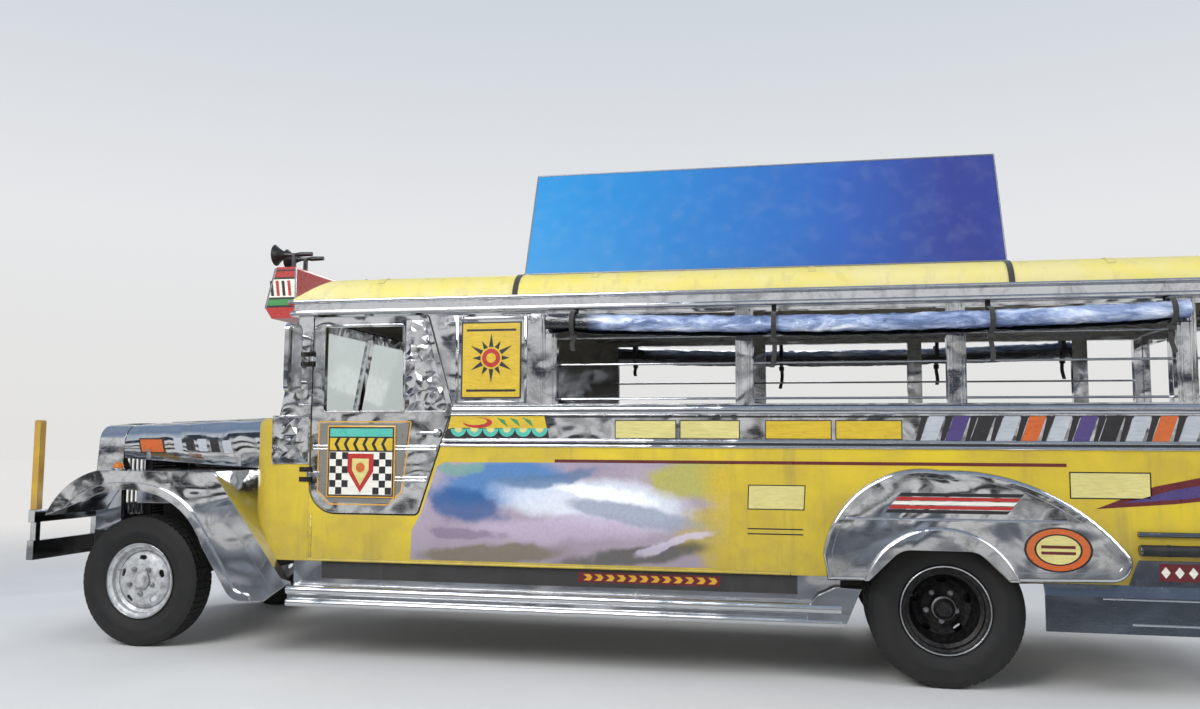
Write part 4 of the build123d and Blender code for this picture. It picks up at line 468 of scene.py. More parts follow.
foil = add(tree, "Bump", Height=ripple, Strength=1.0, Distance=0.005)
pleated = add(tree, "Bump", Height=pleats, Strength=1.0, Distance=0.01, Normal=foil)
cloudy = add(tree, "MapRange", haze, From_Min=0.3, From_Max=0.7, To_Min=0.08, To_Max=0.3)
wire(tree, rolled, cloudy, pleated)
print("curtain sheet of", len(tree.nodes), "nodes")

# %% Webbing
webbing, tree, place = new_finish("black_nylon_webbing", Roughness=0.75, Sheen_Weight=0.25)
ribs = add(tree, "TexWave", place, Scale=per(3.0) / 6.3, Distortion=0.3, bands_direction="Z")
fluff = add(tree, "TexNoise", place, Scale=per(14), Detail=5.0)
faded_web = add(tree, "MixRGB", fluff, "#141416", "#3E3B38")
weave = add(tree, "Bump", Height=ribs.outputs["Fac"], Strength=0.8, Distance=0.0007)
wire(tree, faded_web, normal=weave)
print("webbing")

# %% [markdown]
# **The roof sign's sheet** is vinyl banner, printed from cyan at the front to violet at the rear and left
# blank. The print is a ramp along X that slow noise bends a little, with a film of dust and the slack of a
# pulled sheet.

# %% Printed banner
sign_print, tree, place = new_finish("printed_sign_sheet", IOR=1.5, Coat_Weight=0.4, Coat_Roughness=0.2)
along = add(tree, "SeparateXYZ", place).outputs["X"]
along = add(tree, "MapRange", along, From_Min=0.58, From_Max=-2.02)
mottle = add(tree, "TexNoise", place, Scale=per(600), Detail=3.0)
drift = add(tree, "Math", mottle, 0.14, along, operation="MULTIPLY_ADD")
fade = add(tree, "ValToRGB", drift, stops=[(0.06, "#1484C2"), (0.4, "#1D72B6"), (0.74, "#2A54A2"),
                                           (1.0, "#2E3882")])
dust = add(tree, "TexNoise", place, Scale=per(90), Detail=6.0)
film = add(tree, "MapRange", dust, From_Min=0.5, From_Max=0.85, To_Max=0.12)
dusted = add(tree, "MixRGB", film, fade, "#8E9AA6")
slack = add(tree, "TexNoise", place, Scale=per(520), Detail=1.0)
pull = add(tree, "Bump", Height=slack, Strength=1.0, Distance=0.012)
wire(tree, dusted, add(tree, "MapRange", dust, To_Min=0.25, To_Max=0.5), pull)
print("printed sheet of", len(tree.nodes), "nodes")

# %% [markdown]
# **Finishes on the solids.** Most of the frame's solids have the right shape already, so they only get their
# finish. The roof needs two: yellow outside and a cream lining where its faces look down.

# %% Lining under the roof
tree = roof_enamel.node_tree
outside = tree.nodes["Principled BSDF"].inputs["Base Color"].links[0].from_socket
facing = add(tree, "SeparateXYZ", add(tree, "NewGeometry").outputs["True Normal"]).outputs["Z"]
looks_down = add(tree, "Math", facing, -0.05, operation="LESS_THAN")
wire(tree, add(tree, "MixRGB", looks_down, outside, "#CFC8B4"))
print("cream lining under the roof")

# %% A finish for every solid
finish_of = {black_enamel_and_sill_shade: "chassis_frame front_axle rear_axle knuckle_left knuckle_right leaf_springs "
                           "propeller_shaft bench_frames seat_frames sign_frame",
             yellow_enamel: "cowl side_panel_left side_panel_right", roof_enamel: "roof",
             floor_enamel: "floor", post_enamel: "marker_posts", cast_iron: "engine_block exhaust",
             tank_paint: "fuel_tank", wheel_paint: "wheel_front_left wheel_front_right",
             # The rear wheels take this dark steel, not the silver wheel paint: painted shade, as they stand
             # in shadow.
             black_steel_and_wheel_shade: "hinges wheels_rear_left wheels_rear_right",
             tyre_rubber: "tyre_front_left tyre_front_right tyres_rear_left tyres_rear_right",
             wavy_stainless: "hood front_fender_left front_fender_right rear_fenders grille",
             beaten_stainless: "windshield_frame", door_stainless: "door_left door_right",
             flat_stainless: "window_frame_left window_frame_right running_boards rear_frame",
             bright_moulding: "cant_rail window_bars grab_rails headlamps mirrors front_bumper",
             dark_stainless: "rear_skirts rear_bumper", black_plastic: "dashboard steering_wheel",
             horn_metal: "roof_horns", red_lens: "tail_lamps", window_glass: "windshield_glass",
             lamp_glass: "headlamp_glass", paint["red"]: "headboard", sign_print: "sign_boards",
             webbing: "straps", curtain_sheet: "rolled_curtains", seat_vinyl: "seat_cushions bench_pads"}
finished = [(nodes[name], finish) for finish, names in finish_of.items() for name in names.split()]
for solid, finish in finished:
    if not solid.material_slots:
        solid.data.materials.append(finish)
    for slot in solid.material_slots:
        slot.material = finish
print(len(finished), "solids finished of", len(nodes))

# %% [markdown]
# **Tools for new pieces.** Each new piece starts as a primitive or a few vertices in a bmesh, is shaped by
# mesh operators, and is then shown: its normals turned outwards, its faces smooth but for sharp edges, and
# tied to the body that carries it. What is on the left of a vehicle is mostly on its right too, so one
# helper mirrors it.

# %% Show a piece
def show(name, bm, finishes, rides="body", slot=None, angle=38):
    """Turn a bmesh into a piece that rides on a body and takes these finishes. The slot is not used."""
    bmesh.ops.recalc_face_normals(bm, faces=bm.faces[:])
    thing = put(name, bm)
    mesh = thing.data
    mesh.shade_smooth()
    mesh.set_sharp_from_angle(angle=math.radians(angle))
    for finish in finishes if isinstance(finishes, list) else [finishes]:
        mesh.materials.append(finish)
    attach(thing, rides)
    print(name, len(mesh.polygons), "faces")
    return thing


def both(name):
    """The left-hand and the right-hand name."""
    return name + "_left", name + "_right"


def show_pair(name, bm, finishes, rides=("body", "body"), slot=None, angle=38):
    """Show a left-hand piece and its mirror image."""
    other = bm.copy()
    bmesh.ops.scale(other, vec=(1, -1, 1), verts=other.verts[:])
    return [show(*piece, slot, angle) for piece in zip(both(name), (bm, other), (finishes, finishes), rides)]

# %% Blocks, rods and turned shapes
def give_paint(faces, paint):
    """Give faces the finish with this number."""
    for face in faces:
        face.material_index = paint


def add_block(bm, low, high, edge=0.0, paint=0):
    """A box between two corners, with its edges rounded."""
    low, high = Vector(low), Vector(high)
    made = bmesh.ops.create_cube(bm, size=1.0, matrix=Matrix.Translation((low + high) / 2)
                                 @ Matrix.Diagonal((*(high - low), 1)))
    give_paint({face for vert in made["verts"] for face in vert.link_faces}, paint)
    if edge:
        edges = list(dict.fromkeys(e for vert in made["verts"] for e in vert.link_edges))
        bmesh.ops.bevel(bm, geom=edges, offset=edge, segments=2, profile=0.5, affect="EDGES", material=-1)


def add_rod(bm, start, end, radius, segments=16, end_radius=None, paint=0):
    """A round bar or a cone between two points."""
    start, end = Vector(start), Vector(end)
    run = end - start
    turn = run.to_track_quat("Z", "Y").to_matrix().to_4x4()
    made = bmesh.ops.create_cone(bm, cap_ends=True, segments=segments, radius1=radius, depth=run.length,
                                 radius2=radius if end_radius is None else end_radius,
                                 matrix=Matrix.Translation((start + end) / 2) @ turn)
    give_paint({face for vert in made["verts"] for face in vert.link_faces}, paint)


def add_turned(bm, profile, centre, axis="Y", segments=48, paint=0):
    """Spin a profile of (radius, offset) points once about an axis through a centre."""
    centre = Vector(centre)
    along = Vector(["XYZ"[index] == axis for index in range(3)])
    out = Vector((1, 0, 0)) if axis == "Z" else Vector((0, 0, 1))
    verts = [bm.verts.new(centre + out * radius + along * offset) for radius, offset in profile]
    edges = [bm.edges.new(pair) for pair in zip(verts, verts[1:])]
    before = set(bm.faces)
    bmesh.ops.spin(bm, geom=verts + edges, cent=centre, axis=along, angle=math.tau, steps=segments,
                   use_merge=True, use_duplicate=False)
    spun = dict.fromkeys(v for face in bm.faces if face not in before for v in face.verts)
    bmesh.ops.remove_doubles(bm, verts=list(spun), dist=0.00005)
    give_paint([face for face in bm.faces if face not in before], paint)


print("blocks, rods and turned shapes")

# %% Plates of paint, and outlines for them
def add_plate(bm, corners, y, thickness=0.0008, paint=0):
    """A thin plate on the vehicle's side, drawn as corners in X and Z, with its outer face at y."""
    face = bm.faces.new([bm.verts.new((x, y - thickness, z)) for x, z in corners])
    grown = bmesh.ops.extrude_face_region(bm, geom=[face])["geom"]
    outer = [item for item in grown if isinstance(item, bmesh.types.BMVert)]
    bmesh.ops.translate(bm, vec=(0, thickness, 0), verts=outer)
    give_paint({side for vert in outer for side in vert.link_faces} | {face}, paint)


def add_plates(bm, y, thickness, rows):
    """Plates on one face of the side. A row is the outline, its lift off that face, and its colour."""
    for corners, lift, paint in rows:
        add_plate(bm, corners, y + lift, thickness, paint)


def rect(x0, z0, x1, z1):
    """Corners of an upright rectangle."""
    return [(x0, z0), (x1, z0), (x1, z1), (x0, z1)]


def oval(x, z, across, high, count=28, start=0.0, end=math.tau):
    """Corners of an oval, or of a slice of one."""
    steps = count if end - start >= math.tau - 0.001 else count + 1
    angles = [start + (end - start) * index / count for index in range(steps)]
    return [(x + across * math.cos(a), z + high * math.sin(a)) for a in angles]


def spaced(first, pitch, count):
    """Evenly spaced places along a line."""
    return [first + index * pitch for index in range(count)]


print("plates and their outlines")

# %% [markdown]
# **Tyres.** A 7.00-15 truck tyre has a rib tread: blocks between grooves about 7 mm wide, a buttress that
# steps down to the side wall, and thin rings where the mould's halves met. A texture could fake the blocks,
# but they make the tyre's outline, so the profile is spun and each tread face is inset and raised.

# %% Tyres with raised tread blocks
tread_rise, tread_inset, buttress_radius, tyre_steps = 0.0068, 0.0034, 0.352, 60
half_section = [  # radius, offset from the tyre's middle: the bead and side wall, then the crown
    (0.1935, 0.056), (0.208, 0.0615), (0.216, 0.066), (0.222, 0.0745), (0.226, 0.0742), (0.246, 0.0865),
    (0.27, 0.0935), (0.284, 0.0948), (0.288, 0.0936), (0.31, 0.0925), (0.333, 0.0885), (0.344, 0.0862),
    (0.3575, 0.0765), (0.3612, 0.051), (0.3625, 0.017)]


def add_tyre(bm, centre):
    """Spin the tyre's section, then raise a block on every tread face."""
    section = half_section + [(radius, -offset) for radius, offset in reversed(half_section)]
    before = set(bm.faces)
    add_turned(bm, section + [section[0]], centre, segments=tyre_steps)
    spun = [face for face in bm.faces if face not in before]
    middles = [(face, face.calc_center_median() - centre) for face in spun]
    tread = [face for face, middle in middles if math.hypot(middle.x, middle.z) > buttress_radius]
    bmesh.ops.recalc_face_normals(bm, faces=spun)
    bmesh.ops.inset_individual(bm, faces=tread, thickness=tread_inset, depth=tread_rise, use_even_offset=True)


for name, x, offsets, body in (("tyre_front", front_axle_x, (front_tyre_y,), "wheel_front"),
                               ("tyres_rear", rear_axle_x, (rear_tyre_y, inner_tyre_y), "wheels_rear")):
    bm = bmesh.new()
    for y in offsets:
        add_tyre(bm, Vector((x, y, axle_z)))
    tyres = show_pair(name + "_treaded", bm, tyre_rubber, both(body), "tyre_rubber", 30)
    for tyre, solid in zip(tyres, both(name)):
        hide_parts(solid)

# %% [markdown]
# **Wheel hardware.** On the real wheels, domed nuts hold each disc round an open hub, and a ring of painted
# steel is worn bright at the rim. Nuts are six-sided cones set in a circle with the studs' ends standing out
# of them.

# %% Nuts, hub rings, valve stems and the rims' bright edges
nut_count, nut_circle, stem_circle, stem_angle, lip = 5, 0.076, 0.15, math.radians(20), 0.0755
for name, x, y, nut_face, hub_face, stem_face in (
        ("front", front_axle_x, front_tyre_y, 0.054, 0.062, 0.03),
        ("rear", rear_axle_x, rear_tyre_y, -0.098, 0.022, -0.055)):
    bodies = both("wheel_front" if name == "front" else "wheels_rear")
    bm = bmesh.new()
    for index in range(nut_count):
        angle = math.radians(90) + math.tau * (index + 0.5) / nut_count
        seat = Vector((x + nut_circle * math.cos(angle), y + nut_face, axle_z + nut_circle * math.sin(angle)))
        top, stud_end = seat + Vector((0, 0.016, 0)), seat + Vector((0, 0.024, 0))
        add_rod(bm, seat, top, 0.0155, 6, 0.014)
        add_rod(bm, top, stud_end, 0.009, 12, 0.008)
    add_turned(bm, [(0.04, hub_face), (0.046, hub_face + 0.003), (0.053, hub_face), (0.053, hub_face - 0.014),
                    (0.058, hub_face - 0.018), (0.053, hub_face - 0.022)], (x, y, axle_z), segments=32)
    start = Vector((x + stem_circle * math.cos(stem_angle), y + stem_face,
                    axle_z + stem_circle * math.sin(stem_angle)))
    add_rod(bm, start, start + Vector((0.006, 0.034, 0.004)), 0.004, 8)
    show_pair(name + "_wheel_hardware", bm, plain_steel, bodies, "wheel_paint")
    bm = bmesh.new()
    add_turned(bm, [(0.2125, lip - 0.004), (0.2145, lip), (0.2125, lip + 0.0025), (0.207, lip + 0.001),
                    (0.2055, lip - 0.004), (0.2125, lip - 0.004)], (x, y, axle_z), segments=64)
    show_pair(name + "_rim_bright_edge", bm, bright_moulding, bodies, "wheel_paint")

# %% [markdown]
# **Decoration on the side.** The real one is painted free-hand on the sheet. A texture would need a picture,
# so each colour area is a plate of paint a millimetre or so thick, cut from corners like card, with its
# darker outline plate behind it. Every motif is a plain one: scallops, chevrons, checks, a sun, stripes and
# blank plates.

# %% Ornament and plates along the belt, and painted shade in its recesses
band_face = 0.9338
front, rear = 0.905, 0.33
bm = bmesh.new()
add_plates(bm, band_face, 0.0008,
           [([(rear, 1.192), (front, 1.188), (front - 0.03, 1.312), (rear + 0.02, 1.312)], 0.0, BLACK),
            ([(rear + 0.012, 1.243), (front - 0.02, 1.239), (front - 0.036, 1.306), (rear + 0.028, 1.306)],
             0.0006, YELLOW)])
for x in spaced(rear + 0.052, 0.089, 6):
    add_plates(bm, band_face, 0.0008, [(oval(x, 1.244, 0.044, 0.046, 14, math.pi, math.tau), 0.0006, TEAL),
                                       (oval(x, 1.244, 0.022, 0.024, 10, math.pi, math.tau), 0.0011, CREAM)])
add_plates(bm, band_face, 0.0008, [(oval(0.72, 1.272, 0.08, 0.028), 0.0012, RED),
                                   (oval(0.735, 1.279, 0.066, 0.02), 0.0017, YELLOW)])
for x in spaced(0.415, 0.07, 3):
    leaf = [(x, 1.25), (x + 0.034, 1.272), (x + 0.062, 1.3), (x + 0.018, 1.286)]
    add_plate(bm, leaf, band_face + 0.0012, paint=GREEN)
for start, end, colour in ((-0.335, -0.017, CREAM), (-0.656, -0.352, CREAM), (-1.105, -0.78, YELLOW),
                           (-1.44, -1.122, YELLOW)):
    add_plates(bm, band_face, 0.0012, [(rect(start, 1.19, end, 1.286), 0.0, BLACK),
                                       (rect(start + 0.005, 1.195, end - 0.005, 1.281), 0.0006, colour)])
for index, x in enumerate(spaced(-1.5, -0.1145, 11)):
    colour = (SILVER, PURPLE, BLACK, SILVER, ORANGE)[index % 5]
    add_plates(bm, band_face + 0.0003, 0.0008, [
        ([(x, 1.188), (x - 0.02, 1.188), (x - 0.062, 1.305), (x - 0.03, 1.305)], 0.0, BLACK),
        ([(x - 0.024, 1.188), (x - 0.096, 1.188), (x - 0.14, 1.305), (x - 0.066, 1.305)], 0.0, colour)])
# Two black lines the whole length of the side, at the belt band's foot and under its top rail: painted shade
# in those recesses.
add_plates(bm, 0.9336, 0.0008, [(rect(front, low, side_rear_x, high), 0.0, BLACK)
                                for low, high in ((1.157, 1.171), (1.298, 1.308))])
show_pair("belt_decoration", bm, shades, slot="bright_metal")

# %% Framed plaque behind the door
face = 0.9305
bm = bmesh.new()
for x0, z0, x1, z1 in ((0.455, 1.372, 0.469, 1.835), (0.835, 1.372, 0.849, 1.835),
                       (0.469, 1.372, 0.835, 1.386), (0.469, 1.821, 0.835, 1.835)):
    add_block(bm, (x0, face - 0.002, z0), (x1, face + 0.007, z1), 0.002)
show_pair("plaque_frame", bm, bright_moulding, slot="bright_metal")
sun_x, sun_z, ray_foot, ray_half = 0.652, 1.615, 0.06, 0.22
bm = bmesh.new()
add_plates(bm, face, 0.0016, [(rect(0.486, 1.4, 0.818, 1.808), 0.0014, BLACK),
                              (rect(0.494, 1.408, 0.81, 1.8), 0.002, YELLOW)])
for index in range(12):
    middle = math.tau * index / 12
    spots = ((ray_foot, middle - ray_half), ((0.104, 0.132)[index % 2], middle),
             (ray_foot, middle + ray_half))
    add_plate(bm, [(sun_x + reach * math.cos(a), sun_z + reach * math.sin(a)) for reach, a in spots],
              face + 0.0026, 0.001, BLACK)
add_plates(bm, face, 0.001, [
    (oval(sun_x, sun_z, 0.05, 0.05), 0.0026, RED), (oval(sun_x, sun_z, 0.026, 0.026, 20), 0.0031, YELLOW),
    (rect(0.515, 1.436, 0.789, 1.448), 0.0026, BLACK), (rect(0.515, 1.758, 0.789, 1.77), 0.0026, BLACK)])
show_pair("sun_plaque", bm, shades, slot="bright_metal")

# %% Painted shield on the doors, on its grey field
face = 0.9376
check_wide, check_high = 0.0358, 0.0376
bm = bmesh.new()
add_block(bm, (1.18, 0.929, 0.868), (1.574, 0.937, 1.256), 0.003, paint=GOLD)
add_plates(bm, face, 0.001, [(rect(1.188, 0.876, 1.566, 1.248), 0.0, BLACK),
                             (rect(1.196, 1.196, 1.558, 1.24), 0.0005, TEAL),
                             (rect(1.196, 1.122, 1.558, 1.188), 0.0005, YELLOW)])
for x in spaced(1.226, 0.054, 6):
    chevron = [(x, 1.122), (x + 0.018, 1.122), (x + 0.036, 1.155), (x + 0.018, 1.188), (x, 1.188),
               (x + 0.018, 1.155)]
    add_plate(bm, chevron, face + 0.001, 0.001, BLACK)
add_plate(bm, rect(1.196, 0.884, 1.558, 1.114), face + 0.0005, 0.001, WHITE)
for row, z in enumerate(spaced(0.886, check_high, 6)):
    for column, x in enumerate(spaced(1.198, check_wide, 10)):
        if (row + column) % 2 == 0 and not 3 <= column <= 6:
            add_plate(bm, rect(x, z, x + check_wide, z + check_high), face + 0.001, 0.001, BLACK)
add_plates(bm, face, 0.001, [
    ([(1.377, 0.896), (1.452, 1.01), (1.452, 1.104), (1.302, 1.104), (1.302, 1.01)], 0.0015, RED),
    ([(1.377, 0.934), (1.425, 1.016), (1.425, 1.078), (1.329, 1.078), (1.329, 1.016)], 0.002, CREAM),
    (oval(1.377, 1.03, 0.026, 0.026, 20), 0.0025, ORANGE)])
door_pair = both("door")
show_pair("door_shield", bm, shades, door_pair, "bright_metal")
bm = bmesh.new()
add_plate(bm, [(1.622, 1.268), (1.622, 0.906), (1.556, 0.84), (1.222, 0.84), (1.148, 0.906), (1.106, 1.268)],
          0.9303)
show_pair("door_grey_field", bm, paint["grey"], door_pair, "bright_metal")
bm = bmesh.new()
outer = [(1.628, 1.276), (1.628, 0.902), (1.56, 0.832), (1.218, 0.832), (1.14, 0.902), (1.096, 1.276)]
half_line = 0.0035
for (x0, z0), (x1, z1) in zip(outer, outer[1:] + outer[:1]):
    run = math.hypot(x1 - x0, z1 - z0)
    nx, nz = (z1 - z0) / run * half_line, (x0 - x1) / run * half_line
    add_plate(bm, [(x0 - nx, z0 - nz), (x1 - nx, z1 - nz), (x1 + nx, z1 + nz), (x0 + nx, z0 + nz)], 0.931,
              0.002)
show_pair("door_pinstripe", bm, paint["gold"], door_pair, "bright_metal")

# %% [markdown]
# **The airbrushed sweep.** Ahead of the rear wheel the real panel carries a large airbrushed picture. Here
# it is an abstract one: soft bands of blue, white, lilac and yellow-green blown along the body. A thin plate
# carries it, and its finish lays a dozen soft ovals over each other, as an airbrush does, on a place that
# slow noise has bent.

# %% Airbrushed finish
airbrush, tree, place = new_finish("airbrushed_sweep", IOR=1.5, Coat_Weight=0.3, Coat_Roughness=0.15)
cloud = add(tree, "TexNoise", place, Scale=per(340), Detail=5.0, Roughness=0.55)
centred = add(tree, "VectorMath", cloud.outputs["Color"], (0.5, 0.5, 0.5), operation="SUBTRACT")
shift = add(tree, "VectorMath", centred, (0.6, 0.0, 0.14), operation="MULTIPLY")
drawn = add(tree, "VectorMath", place, shift, operation="ADD")
grit = add(tree, "TexNoise", place, Scale=per(12), Detail=6.0, Roughness=0.8)
sprayed = add(tree, "MixRGB", cloud, "#8D7F93", "#B3A6B0")
for x, z, reach, high, tilt, colour in (  # place, half length, half height, tilt, colour of each pass
        (0.6, 0.96, 0.46, 0.16, 0.1, "#1672B0"), (0.76, 0.84, 0.26, 0.09, -0.25, "#0F4C86"),
        (0.85, 1.03, 0.16, 0.05, 0.1, "#6E9A8E"), (-0.42, 0.98, 0.34, 0.13, 0.05, "#ACA832"),
        (-0.52, 0.72, 0.22, 0.16, 0.0, "#B39D2E"), (0.1, 0.86, 0.6, 0.15, -0.1, "#DCE2EC"),
        (0.25, 0.72, 0.62, 0.08, 0.04, "#B7A6BC"), (0.3, 0.99, 0.4, 0.05, 0.1, "#4F6F92"),
        (-0.12, 0.8, 0.4, 0.06, -0.16, "#8C93A6"), (0.6, 0.59, 0.5, 0.06, 0.06, "#6B6448"),
        (-0.15, 0.6, 0.46, 0.06, 0.12, "#3B3E36"), (0.05, 0.91, 0.3, 0.045, -0.2, "#F2F3F4"),
        (-0.3, 0.66, 0.24, 0.03, 0.35, "#C9BFD2"), (0.78, 0.7, 0.22, 0.04, -0.1, "#7F6E86")):
    spot = add(tree, "Mapping", drawn, Location=(x, 0.0, z), Rotation=(0.0, tilt, 0.0),
               Scale=(reach, 1000.0, high), vector_type="TEXTURE")
    away = add(tree, "VectorMath", spot, operation="LENGTH")
    cover = add(tree, "MapRange", away, From_Min=1.0, From_Max=0.55, To_Max=0.8,
                interpolation_type="SMOOTHSTEP")
    sprayed = add(tree, "MixRGB", cover, sprayed, colour)
drawn_x = add(tree, "SeparateXYZ", drawn).outputs["X"]
rear_fade = add(tree, "MapRange", drawn_x, From_Min=-0.46, From_Max=-0.62, interpolation_type="SMOOTHSTEP")
edged = add(tree, "MixRGB", rear_fade, sprayed, "#C4A92E")
speck = add(tree, "MapRange", grit, From_Min=0.3, From_Max=0.7, To_Min=0.84, To_Max=1.1)
speckled = add(tree, "HueSaturation", Color=edged, Value=speck)
height = add(tree, "SeparateXYZ", place).outputs["Z"]
grimy = add(tree, "MapRange", height, From_Min=0.75, From_Max=0.5, To_Max=0.7)
grime = add(tree, "Math", grimy, grit, operation="MULTIPLY")
soiled = add(tree, "MixRGB", grime, speckled, "#5E574A")
wire(tree, soiled, add(tree, "MapRange", grit, To_Min=0.2, To_Max=0.5))
print("airbrushed finish of", len(tree.nodes), "nodes")

# %% Airbrushed panel, and what is painted on the yellow round it
body_face = 0.9308
bm = bmesh.new()
add_plate(bm, [(0.905, 1.062), (0.945, 1.04), (1.03, 0.79), (1.08, 0.7), (1.085, 0.548), (-0.6, 0.548),
               (-0.606, 1.07)], body_face, 0.001)
show_pair("airbrushed_panel", bm, airbrush, slot="yellow_paint")
bm = bmesh.new()
add_plates(bm, body_face, 0.001, [
    ([(-0.69, 0.842), (-0.968, 0.842), (-0.975, 0.965), (-0.694, 0.965)], 0.0005, BLACK),
    ([(-0.695, 0.847), (-0.963, 0.847), (-0.97, 0.96), (-0.699, 0.96)], 0.001, CREAM),
    (rect(-0.69, 0.72, -0.96, 0.726), 0.0005, BLACK), (rect(-0.69, 0.745, -0.96, 0.751), 0.0005, BLACK),
    (rect(-2.19, 0.918, -2.544, 1.044), 0.0, BLACK), (rect(-2.196, 0.924, -2.538, 1.038), 0.0005, CREAM),
    ([(-2.3, 0.872), (-2.56, 0.98), (-3.11, 1.1), (-3.11, 0.96), (-2.64, 0.9)], 0.0, MAROON),
    ([(-2.42, 0.9), (-2.64, 0.965), (-3.11, 1.055), (-3.11, 1.0), (-2.7, 0.925)], 0.0005, PURPLE),
    (rect(0.3, 1.066, -2.18, 1.082), 0.0, MAROON)])
show_pair("side_lining", bm, shades, slot="yellow_paint")
bm = bmesh.new()
add_plate(bm, rect(0.178, 0.456, -0.552, 0.508), 0.913, 0.002, MAROON)
for x in spaced(0.148, -0.058, 12):
    add_plate(bm, [(x, 0.466), (x - 0.022, 0.482), (x, 0.498), (x - 0.034, 0.498), (x - 0.048, 0.482),
                   (x - 0.034, 0.466)], 0.9136, 0.001, GOLD)
show_pair("rocker_strip", bm, shades, slot="yellow_paint")

# %% Stripes and roundel on the rear fenders
face = 0.98
bm = bmesh.new()
for index, colour in enumerate((BLACK, RED, WHITE, RED, BLACK)):
    z, slip = 0.842 + index * 0.02, index * 0.016
    add_plate(bm, [(-1.345 - slip, z), (-1.9 - slip, z), (-1.916 - slip, z + 0.016),
                   (-1.361 - slip, z + 0.016)], face, 0.001, colour)
add_plates(bm, face, 0.001, [(oval(-2.12, 0.684, 0.15 * grow, 0.104 * grow), lift, colour) for grow, colour,
                             lift in ((1.0, BLACK, 0.0), (0.93, ORANGE, 0.0005), (0.7, BLACK, 0.001),
                                      (0.64, CREAM, 0.0015))])
add_plates(bm, face, 0.001, [(rect(-2.045, z, -2.195, z + 0.014), 0.002, MAROON) for z in (0.662, 0.69)])
add_plate(bm, rect(-2.56, 0.548, -2.735, 0.628), 0.9346, 0.001, MAROON)
for x in spaced(-2.588, -0.058, 3):
    add_plate(bm, [(x, 0.562), (x + 0.02, 0.588), (x, 0.614), (x - 0.02, 0.588)], 0.9352, 0.001, WHITE)
show_pair("rear_fender_stripes", bm, shades, slot="bright_metal")

# %% [markdown]
# **Hood flash.** The hood's side leans in towards the nose and bulges a little, so flat plates would float.
# Each one is cut flat, divided into small faces, and every corner is moved onto the hood's surface.

# %% Slanted bars laid on the hood's sides
hood_rear_x, hood_front_x, side_bulge = 2.108, 3.147, 0.014


def hood_side(x, z):
    """How far the hood's side stands from the centre plane at this place."""
    share = (x - hood_rear_x) / (hood_front_x - hood_rear_x)
    half = 0.62 + share * (0.48 - 0.62)
    low, high = 1.008 + share * 0.052, 1.225 - share * 0.038
    middle, reach = (low + high) / 2, (high - low) / 2
    return half + side_bulge * (1 - min(1.0, abs(z - middle) / reach) ** 2)


bm = bmesh.new()
for x, z, width, tall, lift, colour in (
        (3.02, 1.092, 0.19, 0.092, 0.0008, BLACK), (3.008, 1.1, 0.166, 0.076, 0.0016, ORANGE),
        (2.76, 1.11, 0.06, 0.074, 0.0008, SILVER), (2.67, 1.11, 0.06, 0.074, 0.0008, BLACK),
        (2.58, 1.106, 0.06, 0.074, 0.0008, SILVER), (2.49, 1.102, 0.06, 0.074, 0.0008, BLACK),
        (2.4, 1.098, 0.06, 0.074, 0.0008, SILVER)):
    bar = [(x, z), (x - width, z), (x - width + 0.026, z + tall), (x + 0.026, z + tall)]
    add_plate(bm, bar, lift, 0.0014, colour)
bmesh.ops.subdivide_edges(bm, edges=[e for e in bm.edges if e.calc_length() > 0.03], cuts=3,
                          use_grid_fill=True)
for vert in bm.verts:
    vert.co.y += hood_side(vert.co.x, vert.co.z) + 0.0004
hood_pair = ("hood", "hood")
show_pair("hood_flash", bm, shades, hood_pair, "bright_metal", 60)

# %% Hood catches
bm = bmesh.new()
for x in (2.3, 2.96):
    low = 1.008 + (x - hood_rear_x) / (hood_front_x - hood_rear_x) * 0.052
    y = hood_side(x, low + 0.03)
    add_block(bm, (x - 0.014, y - 0.002, low + 0.004), (x + 0.014, y + 0.006, low + 0.062), 0.002)
    add_rod(bm, (x - 0.018, y + 0.009, low + 0.058), (x + 0.018, y + 0.009, low + 0.058), 0.005, 10)
show_pair("hood_catches", bm, plain_steel, hood_pair, "bright_metal")

# %% [markdown]
# **Headboard and roof sign.** The board over the windscreen is a painted box with a bright frame and stripes
# round its ends. Its front leans back, so its field is built upright and turned onto the slope. The big sign
# on the roof only needs a thin aluminium edge round its sheet.

# %% Headboard's end stripes
board_rear_x, board_front_x, board_foot_z, board_slope = 1.866, 2.046, 1.928, 0.2532
bm = bmesh.new()
for low, high, colour, lift in ((1.932, 2.15, BLACK, 0.0), (1.944, 1.978, GREEN, 0.0008),
                                (1.99, 2.094, WHITE, 0.0008), (2.106, 2.14, RED, 0.0008)):
    top_x, foot_x = (board_front_x - (z - board_foot_z) * board_slope for z in (high, low))
    add_plate(bm, [(board_rear_x, low), (board_rear_x, high), (top_x, high), (foot_x, low)], 0.8012 + lift,
              0.0015, colour)
for index, x in enumerate(spaced(1.888, 0.036, 4)):
    add_plate(bm, [(x, 1.998), (x + 0.018, 1.998), (x + 0.03, 2.086), (x + 0.012, 2.086)], 0.8028, 0.001,
              (RED, BLACK)[index % 2])
show_pair("headboard_end_stripes", bm, shades, slot="headboard_paint")

